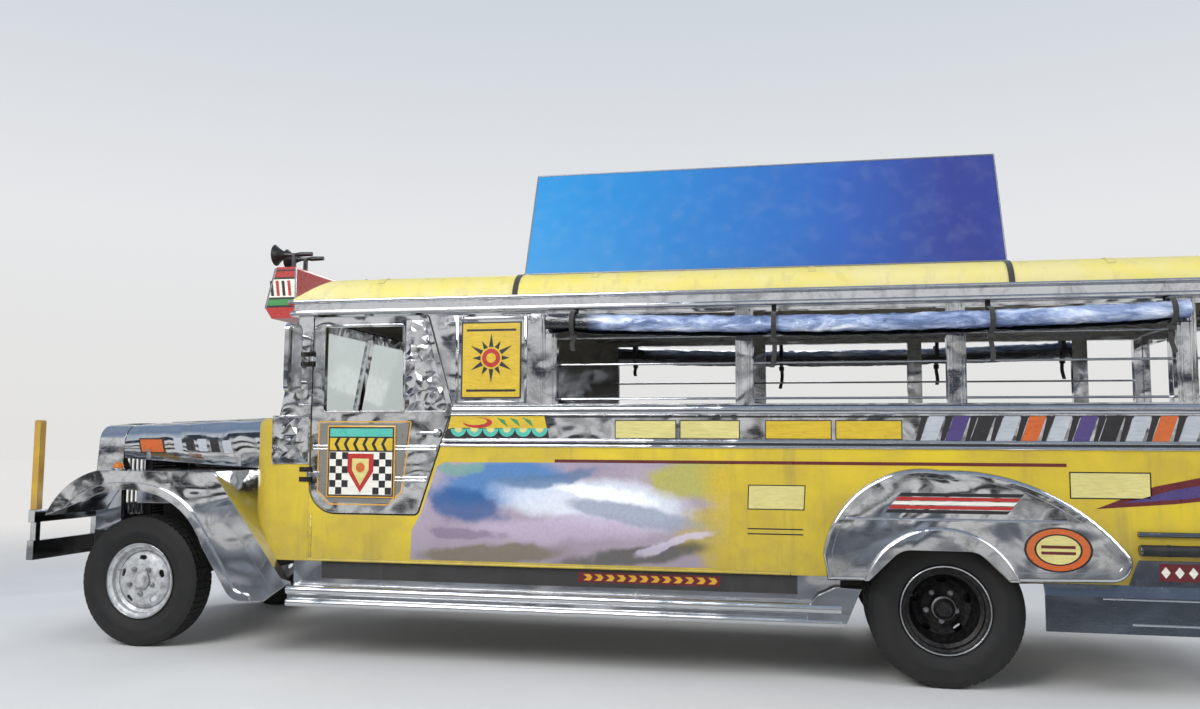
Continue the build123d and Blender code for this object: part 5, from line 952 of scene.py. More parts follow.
# %% Headboard's front field and edge trim
tilt = math.atan2(0.06, 0.237)
bm = bmesh.new()
fields = ((0.77, 0.014, 0.232, CREAM, 0.0012), (0.742, 0.03, 0.216, PURPLE, 0.002),
          (0.722, 0.046, 0.2, WHITE, 0.0028))
for half, low, high, colour, lift in fields:
    add_block(bm, (-0.001, -half, low), (lift, half, high), paint=colour)
for index, y in enumerate(spaced(-0.66, 0.11, 13)):
    add_block(bm, (0.0, y - 0.026, 0.07), (0.0036, y + 0.026, 0.176), paint=(RED, TEAL, ORANGE)[index % 3])
slope = Matrix.Translation((2.0502, 0, board_foot_z)) @ Matrix.Rotation(-tilt, 4, "Y")
bmesh.ops.transform(bm, matrix=slope, verts=bm.verts[:])
show("headboard_front_field", bm, shades, slot="headboard_paint")
bm = bmesh.new()
end_y = 0.798
for y in (-end_y, end_y):
    add_rod(bm, (2.048, y, 1.93), (1.99, y, 2.16), 0.007, 10)
    add_rod(bm, (board_rear_x, y, 1.874), (board_rear_x, y, 2.158), 0.007, 10)
add_rod(bm, (2.046, -end_y, 1.93), (2.046, end_y, 1.93), 0.008, 10)
add_rod(bm, (1.986, -end_y, 2.159), (1.986, end_y, 2.159), 0.006, 10)
show("headboard_bright_trim", bm, bright_moulding, slot="bright_metal")

# %% The roof sign's aluminium edge
sign_front, sign_rear = 0.577, -2.017
foot, head = (0.5495, 2.124), (0.2799, 2.7655)
bm = bmesh.new()
for start_x, start, end_x, end in ((sign_front, foot, sign_rear, foot), (sign_front, head, sign_rear, head),
                                   (sign_front, foot, sign_front, head), (sign_rear, foot, sign_rear, head)):
    add_rod(bm, (start_x, *start), (end_x, *end), 0.0045, 8)
show_pair("sign_aluminium_edge", bm, plain_steel, slot="sign_paint")

# %% [markdown]
# **Fasteners and lap seams.** Sheet is joined by button-head rivets about 120 mm apart, and each wide panel
# laps its neighbour under a narrow strip. Hundreds of rivets could be scattered with instances; eight-sided
# heads in one mesh are as light and survive every export.

# %% Rivets and seams along the side
rivet_height, gutter_y, gutter_z = 0.003, 0.9545, 1.92


def add_rivet(bm, x, y, z, radius=0.006):
    """A button head that stands on the side at y."""
    add_rod(bm, (x, y - 0.0005, z), (x, y + rivet_height, z), radius, 8, radius * 0.55)


bm = bmesh.new()
for x in spaced(0.76, -0.12, 33):
    add_rivet(bm, x, 0.9335, 1.308, 0.005)
    add_rivet(bm, x, gutter_y, gutter_z)
for x in spaced(1.6, -0.1, 9):
    add_rivet(bm, x, gutter_y, gutter_z)
for post_x in (0.34, -0.68, -1.7, -2.72):
    for z in (1.388, 1.842):
        add_rivet(bm, post_x - 0.03, 0.9302, z)
for z in spaced(0.565, 0.046, 5):
    add_rivet(bm, 1.663, 0.9315, z, 0.0045)
show_pair("side_rivets", bm, plain_steel, slot="bright_metal")
bm = bmesh.new()
add_block(bm, (1.655, 0.9295, 0.545), (1.672, 0.9315, 0.775), 0.0006)
show_pair("body_lap_seams", bm, yellow_enamel, slot="yellow_paint")

# %% [markdown]
# **Door furniture.** Each door has a chrome lever on a round rose.

# %% Door levers
bm = bmesh.new()
lock = Vector((0.947, 0.946, 1.215))
add_turned(bm, [(0.001, 0.004), (0.012, 0.0035), (0.02, 0.001), (0.0235, -0.006)], lock, segments=28)
add_rod(bm, lock + Vector((0, 0.002, 0)), lock + Vector((0, 0.016, 0)), 0.009, 16)
add_block(bm, lock + Vector((-0.006, 0.012, -0.008)), lock + Vector((0.105, 0.021, 0.008)), 0.0035)
show_pair("door_lever", bm, bright_moulding, door_pair, "bright_metal")

# %% [markdown]
# **Stuffed seats.** The front seats and the two long benches are foam under maroon vinyl. A box with rounded
# edges looks like wood, so each cover starts a little too small, is remeshed to even squares and blown up as
# cloth for twenty frames. How far a point may move is capped. At these voxel sizes a face is smaller than a
# pixel, so no subdivision follows. The sewn channels are pressed in afterwards, since a remesh would wipe
# them out.

# %% Blow a pad up as cloth
cloth_frames, air_pressure = 20, 4.0


def evaluated(thing):
    """The mesh of an object with its modifiers applied. The object is removed."""
    mesh = bpy.data.meshes.new_from_object(thing.evaluated_get(bpy.context.evaluated_depsgraph_get()))
    bpy.data.objects.remove(thing)
    return mesh


def blown_up(even):
    """Where an even mesh's points are after some frames of air pressure inside its cover."""
    cover = bpy.data.objects.new("pad_cover", even)
    scene.collection.objects.link(cover)
    cloth = cover.modifiers.new("stuffing", "CLOTH")
    cloth.settings.quality = 4
    cloth.settings.use_pressure = True
    cloth.settings.uniform_pressure_force = air_pressure
    cloth.settings.effector_weights.gravity = 0.0
    cloth.point_cache.frame_start, cloth.point_cache.frame_end = 1, cloth_frames
    for number in range(1, cloth_frames + 1):
        scene.frame_set(number)
    ends = [vert.co.copy() for vert in evaluated(cover).vertices]
    scene.frame_set(1)
    return ends


print("cloth is", "simulated")

# %% A stuffed pad, and the channels sewn into it
def stuffed(low, high, voxel, swell, rests):
    """A pad between two corners; rests are (axis, side) pairs where it lies flat on something."""
    low, high = Vector(low), Vector(high)
    bm = bmesh.new()
    inset = Vector((swell, swell, swell)) * 0.7
    add_block(bm, low + inset, high - inset, min(high - low) * 0.22)
    rough = put("pad_start", bm)
    rebuild = rough.modifiers.new("even", "REMESH")
    rebuild.mode, rebuild.voxel_size = "VOXEL", voxel
    even = evaluated(rough)
    starts = [vert.co.copy() for vert in even.vertices]
    ends = blown_up(even)
    bm = bmesh.new()
    bm.from_mesh(even)
    for vert, before, after in zip(bm.verts, starts, ends):
        step = after - before
        if step.length > swell:
            step *= swell / step.length
        vert.co = before + step
    bmesh.ops.smooth_vert(bm, verts=bm.verts[:], factor=0.5, use_axis_x=True, use_axis_y=True,
                          use_axis_z=True)
    for vert in bm.verts:
        for axis, side in rests:
            edge = (high if side > 0 else low)[axis]
            vert.co[axis] = min(vert.co[axis], edge) if side > 0 else max(vert.co[axis], edge)
    return bm


def channels(bm, places, axis, face_axis, side, depth=0.009, width=0.01):
    """Press sewn channels into the face that looks along face_axis."""
    bm.normal_update()
    for vert in bm.verts:
        if vert.normal[face_axis] * side > 0.25:
            near = min(abs(vert.co[axis] - place) for place in places)
            vert.co[face_axis] -= side * depth * math.exp(-(near / width) ** 2)


print("pads can be stuffed and sewn")

# %% Piping along a pad's edge
piping_radius = 0.0045


def add_piping(bm, name, corners):
    """Lay a closed cord on the pad, along straight runs between these corners, in the pad's second finish."""
    surface = BVHTree.FromBMesh(bm)
    points = []
    for start, end in zip(corners, corners[1:] + corners[:1]):
        start, end = Vector(start), Vector(end)
        steps = max(4, int((end - start).length / 0.03))
        for index in range(steps):
            spot, normal = surface.find_nearest(start.lerp(end, index / steps))[:2]
            points.append(spot + normal * piping_radius * 0.3)
    curve = bpy.data.curves.new(name, "CURVE")
    curve.dimensions = "3D"
    curve.bevel_depth, curve.bevel_resolution = piping_radius, 1
    spline = curve.splines.new("NURBS")
    spline.points.add(len(points) - 1)
    for point, spot in zip(spline.points, points):
        point.co = (*spot, 1.0)
    spline.use_cyclic_u = True
    spline.order_u = 3
    spline.resolution_u = 2
    cord = bpy.data.objects.new(name, curve)
    first = len(bm.faces)
    bm.from_mesh(bpy.data.meshes.new_from_object(cord))
    bpy.data.objects.remove(cord)
    bm.faces.ensure_lookup_table()
    give_paint(bm.faces[first:], 1)


print("piping of", piping_radius * 2000, "mm")

# %% Driver's and passenger's seats
vinyls = [seat_vinyl, piping_vinyl]
seat_voxel, seat_swell, seat_seams = 0.0075, 0.018, (0.224, 0.358, 0.492, 0.626)
for name, low, high, face_axis, rests, corners in (
        ("cushion", (0.8703, 0.09, 0.8803), (1.25, 0.76, 0.9903), 2, [(2, -1), (0, -1)],
         [(0.885, 0.1, 0.972), (1.238, 0.1, 0.972), (1.238, 0.75, 0.972), (0.885, 0.75, 0.972)]),
        ("back", (0.7703, 0.09, 0.8803), (0.87, 0.76, 1.46), 0, [(0, -1), (2, -1)],
         [(0.852, 0.1, 0.995), (0.852, 0.75, 0.995), (0.852, 0.75, 1.448), (0.852, 0.1, 1.448)])):
    pad = stuffed(low, high, seat_voxel, seat_swell, rests)
    channels(pad, seat_seams, 1, face_axis, 1)
    add_piping(pad, name + "_piping", corners)
    for side in show_pair("front_seat_" + name, pad, vinyls, slot="seat_vinyl", angle=180):
        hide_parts("seat_cushions")

# %% Long benches in three lengths each
bench_rear, bench_front, bench_voxel, bench_swell = -3.0897, 0.66, 0.0105, 0.014
length = (bench_front - bench_rear) / 3


def bench(name, y, z, face_axis, side, rests, edge):
    """One pad is blown up, and copies of it make the row."""
    one = stuffed((bench_rear + 0.002, y[0], z[0]), (bench_rear + length - 0.002, y[1], z[1]), bench_voxel,
                  bench_swell, rests)
    channels(one, [bench_rear + length * share / 6 for share in range(1, 6)], 0, face_axis, side, 0.008,
             0.013)
    add_piping(one, name + "_piping", [(bench_rear + x, *edge_point) for x, edge_point in (
        (0.02, edge[0]), (length - 0.02, edge[0]), (length - 0.02, edge[1]), (0.02, edge[1]))])
    mesh = bpy.data.meshes.new("pad_copy")
    one.to_mesh(mesh)
    one.free()
    whole = bmesh.new()
    for index in range(3):
        first = len(whole.verts)
        whole.from_mesh(mesh)
        whole.verts.ensure_lookup_table()
        bmesh.ops.translate(whole, vec=(index * length, 0, 0), verts=whole.verts[first:])
    bpy.data.meshes.remove(mesh)
    for pad in show_pair(name, whole, vinyls, slot="seat_vinyl", angle=180):
        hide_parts("bench_pads")


bench("bench_cushion", (0.5, 0.8547), (0.9603, 1.035), 2, 1, [(2, -1), (1, 1)],
      ((0.512, 1.022), (0.842, 1.022)))
bench("bench_rest", (0.855, 0.9047), (0.9603, 1.295), 1, -1, [(1, 1), (2, -1)],
      ((0.862, 0.985), (0.862, 1.283)))

# %% [markdown]
# **Rolled side curtains.** Each bay's rain curtain is one long sheet of milky plastic with a black hem,
# rolled up under the gutter and tied at the posts. A crumpled cylinder would show no edge, so a flat grid is
# wound into a spiral of two and a half turns, hung along the sagging line of its solid, creased by slow
# noise and given the sheet's thickness. The hem is the loose outer end, below the roll's side, and a UV map
# carries it.

# %% Wind the sheet
roll_front, roll_rear, roll_y, sheet_width, sheet_thickness = 0.336, -2.716, 0.994, 0.6, 0.0007
straps = ((0.19, 1.64), (-0.83, 1.545), (-1.85, 1.565), (-2.64, 1.6))  # X, and the tail's lower end


def roll_line(x):
    """The height of the roll's middle, which sags between its ends."""
    return 1.796 - 0.038 * (1 - ((x + 1.19) / 1.53) ** 2)


bm = bmesh.new()
layer = bm.loops.layers.uv.new("sheet")
bmesh.ops.create_grid(bm, x_segments=270, y_segments=58, size=0.5)
turns = sheet_width / (math.tau * 0.0375)
for face in bm.faces:
    for loop in face.loops:
        loop[layer].uv = (loop.vert.co.x + 0.5, loop.vert.co.y + 0.5)
for vert in bm.verts:
    along, wound = vert.co.x + 0.5, vert.co.y + 0.5
    x = roll_rear + (roll_front - roll_rear) * along
    radius = 0.0565 - 0.038 * wound
    angle = math.radians(-62) - wound * turns * math.tau
    tube = min(1.0, max(0.0, (x + 0.1) / 0.3))
    crease = noise.noise(Vector((x * 9.0, math.cos(angle) * 2.2, math.sin(angle) * 2.2)))
    ridge = abs(noise.noise(Vector((x * 14.0 + angle, angle * 1.6, 3.0))))
    radius += (1 - 0.8 * tube) * (0.0065 * crease - 0.011 * ridge)
    tied = max(math.exp(-((x - strap_x) / 0.05) ** 2) for strap_x, low in straps)
    radius = min(radius, 0.0572) - 0.0012 * tied
    y, z = roll_y + math.cos(angle) * radius, roll_line(x) + math.sin(angle) * radius
    loose = max(0.0, 0.05 - wound) / 0.05 * (1 - tied)
    vert.co = (x, max(0.9365, y), z - loose * 0.012)
bmesh.ops.solidify(bm, geom=bm.faces[:], thickness=sheet_thickness)
for roll_piece in show_pair("rolled_curtain", bm, curtain_sheet, slot="curtain_plastic", angle=180):
    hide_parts("rolled_curtains")

# %% Loose strap tails, and their buckles
bm = bmesh.new()
for index, (x, low) in enumerate(straps):
    top = roll_line(x) - 0.0615
    for vert in bmesh.ops.create_grid(bm, x_segments=1, y_segments=14, size=0.5)["verts"]:
        share = vert.co.y + 0.5
        sway = 0.01 * math.sin(share * 4.2 + index * 1.7) * (1 - share)
        vert.co = (x + vert.co.x * 0.023 + sway, roll_y + 0.004 * math.sin(share * 3 + index),
                   low + (top - low) * share)
bmesh.ops.solidify(bm, geom=bm.faces[:], thickness=0.0025)
for x, low in straps:
    middle = roll_line(x) - 0.06
    add_block(bm, (x - 0.017, roll_y - 0.01, middle - 0.032), (x + 0.017, roll_y + 0.01, middle - 0.004),
              0.003)
show_pair("curtain_strap_tails", bm, webbing, slot="strap_web", angle=60)

# %% [markdown]
# ** Lower edge.** Between the yellow side and the running board runs a recessed sill in shadow, and a black plate over it is painted shade.
# Behind the rear wheel a black rubber sleeve covers the rub bar, and two bright strips run along the skirt.
# All are thin pieces over their exact solids.

# %% Painted shade on the sill, rub bar sleeve and skirt strips
bar_y, bar_z, skirt_y = 0.954, 0.688, 0.956
bm = bmesh.new()
# A black plate over the whole sill: painted shade, where the sill lies in the body's shadow.
add_plate(bm, rect(1.6, 0.432, -0.93, 0.522), 0.9124)
show_pair("black_sill", bm, black_enamel_and_sill_shade, slot="frame_paint")
bm = bmesh.new()
add_rod(bm, (-2.484, bar_y, bar_z), (-3.12, bar_y, bar_z), 0.0258, 24)
for x in (-2.6, -2.8, -3.0):
    add_rod(bm, (x - 0.006, bar_y, bar_z), (x + 0.006, bar_y, bar_z), 0.0278, 24)
show_pair("rub_bar_sleeve", bm, black_plastic, slot="dark_plastic")
bm = bmesh.new()
add_rod(bm, (-2.43, skirt_y, 0.352), (side_rear_x, skirt_y, 0.352), 0.007, 12)
add_rod(bm, (-2.31, skirt_y, 0.464), (side_rear_x, skirt_y, 0.464), 0.005, 12)
show_pair("skirt_strips", bm, bright_moulding, slot="bright_metal")

# %% [markdown]
# **Crumpled panels.** Behind each door window and on the cowl under the windscreen the polished sheet is
# crumpled like foil. Crumpled sheet is flat between its folds, and a fold runs straight until it meets
# another. Smooth noise on a fine grid looks like worms, so a coarse grid is shaken, split into triangles,
# cut to the panel's outline with planes, and each of its points is pushed out by its own amount, which dies
# away at the border.

# %% Foil panels
foil_step, border, shake_seed = 0.03, 0.02, 1795704479
noise.seed_set(shake_seed)  # without it vector noise takes its seed from the clock


def add_crumpled(bm, corners, y, rise):
    """A crumpled sheet inside a convex outline of X and Z corners, against the plane at y."""
    xs, zs = zip(*corners)
    wide, tall = max(xs) - min(xs), max(zs) - min(zs)
    place = Matrix.Translation(((max(xs) + min(xs)) / 2, y, (max(zs) + min(zs)) / 2))
    place = place @ Matrix.Rotation(math.pi / 2, 4, "X") @ Matrix.Diagonal((wide, tall, 1, 1))
    bmesh.ops.create_grid(bm, x_segments=int(wide / foil_step), y_segments=int(tall / foil_step), size=0.5,
                          matrix=place)
    for vert in bm.verts:
        if not vert.is_boundary:
            shake = noise.noise_vector(vert.co * 41.0) * foil_step * 0.75
            vert.co += Vector((shake.x, 0.0, shake.z))
    bmesh.ops.triangulate(bm, faces=bm.faces[:], quad_method="SHORT_EDGE")
    centre = Vector((sum(xs) / len(xs), y, sum(zs) / len(zs)))
    sides = []
    for (x0, z0), (x1, z1) in zip(corners, corners[1:] + corners[:1]):
        start, out = Vector((x0, y, z0)), Vector((z1 - z0, 0, x0 - x1)).normalized()
        if out.dot(centre - start) > 0:
            out = -out
        sides.append((start, out))
        bmesh.ops.bisect_plane(bm, geom=bm.verts[:] + bm.edges[:] + bm.faces[:], dist=0.0004, plane_co=start,
                               plane_no=out, clear_outer=True)
    for vert in bm.verts:
        inside = min(-out.dot(vert.co - start) for start, out in sides)
        fold = 0.45 + 0.9 * noise.noise(vert.co * 53.0 + Vector((3, 5, 7)))
        vert.co.y += rise * min(1.0, max(0.0, inside / border)) * min(1.0, max(0.0, fold))
    bmesh.ops.solidify(bm, geom=bm.faces[:], thickness=0.0006)


bm = bmesh.new()
add_crumpled(bm, [(1.136, 1.825), (1.032, 1.825), (0.894, 1.357), (0.903, 1.336), (1.136, 1.336)], 0.9266,
             0.0085)
show_pair("door_quarter_foil", bm, flat_stainless, door_pair, "bright_metal", 5)
bm = bmesh.new()
add_crumpled(bm, rect(1.688, 1.052, 1.898, 1.302), 0.9346, 0.008)
show_pair("cowl_foil", bm, flat_stainless, slot="bright_metal", angle=5)

# %% [markdown]
# **Roof joints.** The roof is made of sheets that lap every metre or so. Each lap is a strip laid over the
# roof: its points are dropped on the exact roof with a ray, so the strip follows every curve without a
# second drawing of it. Screws hold each strip down.

# %% Lap strips dropped on the roof
def drop_on(name, x, y):
    """Where a point above a solid lands on it, and the solid's normal there."""
    solid = nodes[name].data
    if name not in landed:
        landed[name] = BVHTree.FromPolygons([v.co for v in solid.vertices],
                                            [p.vertices for p in solid.polygons])
    return landed[name].ray_cast(Vector((x, y, 3.0)), Vector((0, 0, -1)))[:2]


landed = {}
strip_width, strip_span, strip_rise, strip_thickness = 0.034, 1.8, 0.0022, 0.0012
bm = bmesh.new()
for x in (1.3, -2.42, -1.02, 0.1):
    made = bmesh.ops.create_grid(bm, x_segments=1, y_segments=96, size=0.5)["verts"]
    for vert in made:
        spot, normal = drop_on("roof", x + vert.co.x * strip_width, vert.co.y * strip_span)
        vert.co = spot + normal * strip_rise
    for y in spaced(-0.8, 0.1, 17):
        spot, normal = drop_on("roof", x, y)
        add_rod(bm, spot + normal * 0.001, spot + normal * 0.005, 0.006, 8, 0.004)
strips = [face for face in bm.faces if len(face.verts) == 4 and face.calc_area() > 0.00025]
bmesh.ops.solidify(bm, geom=strips, thickness=strip_thickness)
show("roof_lap_strips", bm, roof_enamel, slot="yellow_paint")

# %% [markdown]
# **Mirrors, plates and lamps.** The mirror glass faces backwards in its steel shell. The number plates, on
# the front bumper and on the body's rear panel, are blank embossed sheets. Amber marker lamps sit on the
# front fenders, and the red lamps at the rear have bright rims.

# %% Mirror glass
bm = bmesh.new()
add_block(bm, (1.7034, 1.012, 1.444), (1.7048, 1.138, 1.786))
show_pair("mirror_glass_plates", bm, mirror_glass, slot="clear_glass")

# %% Blank number plates
plate_half_height = 0.065


def number_plate(name, place, side, half):
    """A blank embossed plate in a black frame, drawn flat and stood up to face forwards or backwards."""
    bm = bmesh.new()
    tall = plate_half_height
    add_block(bm, (-half, -tall, 0.0), (half, tall, 0.0014), 0.0006)
    for x0, y0, x1, y1 in ((-half, tall - 0.004, half, tall + 0.003),
                           (-half, -tall - 0.003, half, 0.004 - tall),
                           (-half - 0.003, -tall, 0.004 - half, tall),
                           (half - 0.004, -tall, half + 0.003, tall)):
        add_block(bm, (x0, y0, 0.0), (x1, y1, 0.0036), 0.0008, paint=1)
    for y in (tall - 0.014, 0.012 - tall):
        add_block(bm, (0.012 - half, y, 0.0008), (half - 0.012, y + 0.002, 0.002))
    stand = Matrix(((0, 0, side, 0), (side, 0, 0, 0), (0, 1, 0, 0), (0, 0, 0, 1)))
    bmesh.ops.transform(bm, matrix=Matrix.Translation(place) @ stand, verts=bm.verts[:])
    show(name, bm, [paint["cream"], black_plastic], slot="dark_plastic")


number_plate("front_blank_plate", (3.4202, 0.0, 0.645), 1, 0.2)
number_plate("rear_blank_plate", (-3.1304, -0.655, 1.12), -1, 0.165)

# %% Marker lamps on the front fenders, and the tail lamps' rims
bm = bmesh.new()
spot = drop_on("front_fender_left", 2.93, 0.83)[0] - Vector((0, 0, 0.002))
add_turned(bm, [(0.036, 0.0), (0.036, 0.01), (0.03, 0.014), (0.001, 0.0141)], spot, "Z", 28)
add_turned(bm, [(0.029, 0.013), (0.029, 0.024), (0.024, 0.036), (0.013, 0.044), (0.001, 0.046)], spot, "Z",
           28, 1)
show_pair("fender_marker_lamps", bm, [bright_moulding, amber_lens], slot="lamp_red")
bm = bmesh.new()
for z in (0.82, 0.94):
    add_turned(bm, [(0.047, -0.002), (0.052, -0.006), (0.052, 0.0), (0.047, 0.002)], (-3.134, 0.8, z), "X",
               36)
show_pair("tail_lamp_rims", bm, bright_moulding, slot="bright_metal")

# %% [markdown]
# **Driver's place.** Three round instruments in bright rims, push switches, a horn button, a long gear lever
# with a ball, a hand brake and three pedals. They are small turned shapes and bars, and show when a door is
# open.

# %% Instruments and horn button
dial_x, dial_z = 1.68, 1.19
bm = bmesh.new()
for y, radius in ((0.285, 0.038), (0.4, 0.052), (0.515, 0.038)):
    add_turned(bm, [(radius, 0.001), (radius + 0.001, -0.007), (radius - 0.005, -0.008),
                    (radius - 0.006, -0.003)], (dial_x, y, dial_z), "X", 32)
    add_rod(bm, (dial_x + 0.0005, y, dial_z), (dial_x - 0.0035, y, dial_z), radius - 0.005, 32, paint=1)
    for tick in range(9):
        angle = math.radians(225 - tick * 33.75)
        near, far = ((dial_x - 0.0038, y + reach * math.cos(angle), dial_z + reach * math.sin(angle))
                     for reach in (radius * 0.72, radius * 0.84))
        add_rod(bm, near, far, 0.0009, 6, paint=2)
    pin = (dial_x - 0.0042, y, dial_z)
    add_rod(bm, pin, (pin[0], y - radius * 0.5, dial_z + radius * 0.38), 0.0012, 6, paint=3)
for y in spaced(0.2, -0.055, 5):
    add_rod(bm, (1.681, y, 1.175), (1.668, y, 1.175), 0.009, 16, 0.008)
add_block(bm, (1.6745, -0.62, 1.115), (1.6815, -0.22, 1.245), 0.004, 1)
add_rod(bm, (1.674, -0.42, 1.222), (1.664, -0.42, 1.222), 0.011)
show("dashboard_instruments", bm, [bright_moulding, black_plastic, paint["white"], paint["red"]],
     slot="dark_plastic")
hub, lean = Vector((1.44, 0.4, 1.13)), Vector((-0.8723, 0.0, 0.489))
bm = bmesh.new()
add_rod(bm, hub + lean * 0.016, hub + lean * 0.027, 0.034, 32, 0.03)
add_rod(bm, hub + lean * 0.026, hub + lean * 0.03, 0.022, 32, 0.018, 1)
show("horn_button", bm, [bright_moulding, paint["red"]], slot="dark_plastic")

# %% Gear lever with its ball and boot, hand brake and pedals
bm = bmesh.new()
add_rod(bm, (1.5, 0.02, 0.641), (1.36, 0.035, 1.0), 0.008, 12, 0.0065)
add_turned(bm, [(0.001, -0.022), (0.012, -0.019), (0.02, -0.01), (0.022, 0.0), (0.019, 0.012), (0.011, 0.02),
                (0.001, 0.023)], (1.353, 0.0357, 1.017), "Z", 20, 1)
add_turned(bm, [(0.06, 0.0), (0.05, 0.012), (0.03, 0.018), (0.018, 0.04), (0.01, 0.06)],
           (1.498, 0.02, 0.641), "Z", 20, 1)
add_rod(bm, (1.32, -0.06, 0.641), (1.24, -0.06, 0.83), 0.01, 12)
add_rod(bm, (1.262, -0.06, 0.778), (1.23, -0.06, 0.854), 0.014, 12, paint=1)
for y in (0.29, 0.4, 0.51):
    add_rod(bm, (1.8, y, 0.9), (1.69, y, 0.76), 0.007, 10)
    add_block(bm, (1.672, y - 0.032, 0.735), (1.69, y + 0.032, 0.795), 0.004, 1)
show("levers_and_pedals", bm, [plain_steel, black_plastic], slot="dark_plastic")

# %% Door cards with an arm rest and a window winder
bm = bmesh.new()
add_block(bm, (1.13, 0.8888, 0.845), (1.592, 0.8946, 1.285), 0.0025)
add_block(bm, (1.17, 0.88, 1.13), (1.42, 0.8892, 1.17), 0.004, 1)
add_rod(bm, (1.52, 0.889, 1.06), (1.52, 0.868, 1.06), 0.016, 20, paint=2)
add_rod(bm, (1.52, 0.872, 1.06), (1.47, 0.872, 1.01), 0.006, 12, paint=2)
add_rod(bm, (1.47, 0.874, 1.01), (1.47, 0.846, 1.01), 0.01, 14, 0.012, 1)
show_pair("door_card", bm, [seat_vinyl, black_plastic, bright_moulding], door_pair, "seat_vinyl")

# %% Hub caps of black iron
bm = bmesh.new()
add_turned(bm, [(0.037, 0.056), (0.037, 0.069), (0.033, 0.0745), (0.018, 0.0775), (0.001, 0.078)],
           (front_axle_x, front_tyre_y, axle_z), segments=28)
show_pair("front_hub_caps", bm, black_steel_and_wheel_shade, both("wheel_front"), "wheel_paint")

# %% [markdown]
# **Under the hood.** With the lid up a bare block would look like a crate. A diesel of this kind carries a
# pressed rocker cover with its filler cap, an air cleaner drum on the intake, an exhaust manifold cast in
# one piece with its four runners, and in front of it a fan, a radiator with a capped header tank, and two
# rubber hoses. A battery sits on a tray over the left frame rail. The drums and caps are spun profiles, the
# rest rounded blocks and bars, since only their arrangement is seen.

# %% Rocker cover, air cleaner and exhaust manifold
cleaner_x, cleaner_y, manifold_y, manifold_z = 2.56, -0.235, 0.318, 0.9
bm = bmesh.new()
add_block(bm, (2.33, -0.085, 0.996), (2.9, 0.085, 1.075), 0.022)
add_block(bm, (2.316, -0.1, 0.994), (2.914, 0.1, 1.006), 0.003)
add_turned(bm, [(0.03, -0.004), (0.034, 0.004), (0.034, 0.016), (0.022, 0.024), (0.001, 0.026)],
           (2.42, 0.0, 1.074), "Z", 24, 1)
for x in spaced(2.5, 0.12, 4):
    add_rod(bm, (x, 0.0, 1.07), (x, 0.0, 1.083), 0.011, 6, paint=2)
add_turned(bm, [(0.001, 0.118), (0.018, 0.116), (0.12, 0.108), (0.128, 0.1), (0.128, 0.02), (0.12, 0.01),
                (0.062, 0.0), (0.058, -0.04)], (cleaner_x, cleaner_y, 1.045), "Z", 40, 1)
add_rod(bm, (cleaner_x, cleaner_y, 0.995), (cleaner_x, cleaner_y, 1.05), 0.058, 24, paint=1)
add_rod(bm, (2.69, cleaner_y, 1.1), (2.81, -0.3, 1.1), 0.034, 20, 0.04, 1)
add_rod(bm, (2.31, manifold_y, manifold_z), (2.9, manifold_y, manifold_z), 0.032, 20, paint=3)
for x in (2.36, 2.53, 2.7, 2.85):
    add_rod(bm, (x, 0.255, 0.92), (x, manifold_y, manifold_z), 0.024, 16, paint=3)
    add_block(bm, (x - 0.038, 0.259, 0.888), (x + 0.038, 0.268, 0.952), 0.004, 3)
add_rod(bm, (2.33, manifold_y, manifold_z), (2.25, 0.3, 0.64), 0.026, 18, paint=3)
show("engine_top_dress", bm, [plain_steel, black_enamel_and_sill_shade, black_steel_and_wheel_shade, cast_iron], slot="engine_iron")

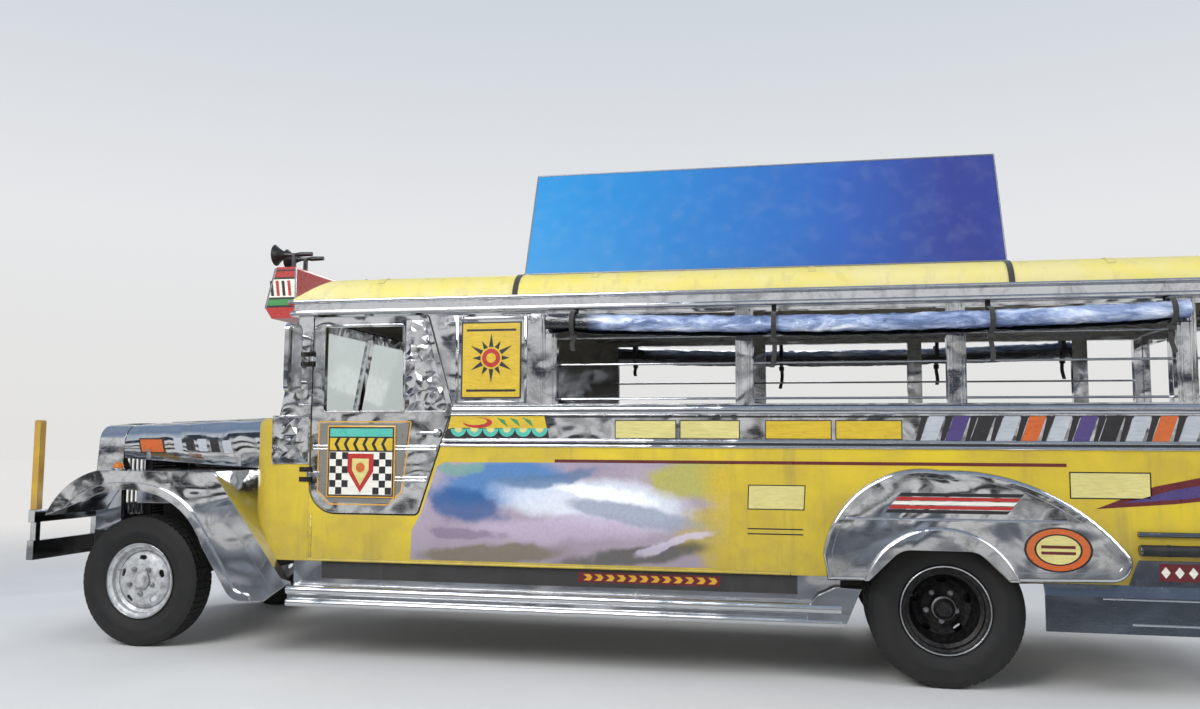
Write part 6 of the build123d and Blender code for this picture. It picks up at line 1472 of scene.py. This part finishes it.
# %% Radiator, fan and hoses
fan_z, fan_blades, hose_radius = 0.87, 6, 0.025
bm = bmesh.new()
add_block(bm, (3.086, -0.3, 0.64), (3.14, 0.3, 1.12), 0.006)
add_block(bm, (3.08, -0.3, 1.116), (3.146, 0.3, 1.176), 0.018)
add_turned(bm, [(0.026, 0.0), (0.03, 0.006), (0.03, 0.014), (0.014, 0.022), (0.001, 0.023)],
           (3.113, 0.06, 1.174), "Z", 24, 1)
for z in spaced(0.662, 0.019, 24):
    add_block(bm, (3.0835, -0.285, z), (3.087, 0.285, z + 0.007), paint=1)
add_rod(bm, (3.016, 0.0, fan_z), (3.052, 0.0, fan_z), 0.04, 24, paint=1)
for index in range(fan_blades):
    angle = math.tau * index / fan_blades
    out = Vector((0.0, math.cos(angle), math.sin(angle)))
    add_rod(bm, Vector((3.046, 0.0, fan_z)) + out * 0.035, Vector((3.052, 0.0, fan_z)) + out * 0.185, 0.0135,
            10, 0.019)
path = [Vector((2.96, 0.15, 0.99)), Vector((2.975, 0.15, 1.06)), Vector((3.03, 0.158, 1.12)),
        Vector((3.092, 0.16, 1.146))]
for start, end in zip(path, path[1:]):
    add_rod(bm, start, end, hose_radius, 20, paint=2)
    add_turned(bm, [(0.0, -0.0248), (0.0124, -0.0215), (0.0215, -0.0124), (0.0248, 0.0), (0.0215, 0.0124),
                    (0.0124, 0.0215), (0.0, 0.0248)], end, "Z", 20, 2)
add_rod(bm, (3.018, -0.16, 0.76), (3.09, -0.17, 0.7), 0.026, 20, paint=2)
show("radiator_fan_and_hoses", bm, [black_enamel_and_sill_shade, plain_steel, tyre_rubber], slot="engine_iron")

# %% Battery and tray
tray_y, cell_y, top_z = 0.41, 0.403, 0.978
bm = bmesh.new()
add_block(bm, (2.15, 0.33, 0.792), (2.42, 0.476, 0.8), 0.002)
for x in (2.18, 2.39):
    add_rod(bm, (x, tray_y, 0.618), (x, tray_y, 0.795), 0.01, 12)
add_block(bm, (2.16, 0.338, 0.799), (2.41, 0.468, 0.968), 0.006, 1)
add_block(bm, (2.156, 0.334, 0.96), (2.414, 0.472, 0.98), 0.004, 1)
for x in spaced(2.19, 0.039, 6):
    add_rod(bm, (x, cell_y, top_z), (x, cell_y, 0.985), 0.0125, 16, paint=2)
for y in (0.36, 0.446):
    add_rod(bm, (2.392, y, top_z), (2.392, y, 0.998), 0.009, 14, 0.008)
show("battery_and_tray", bm, [plain_steel, black_plastic, paint["red"]], slot="dark_plastic")
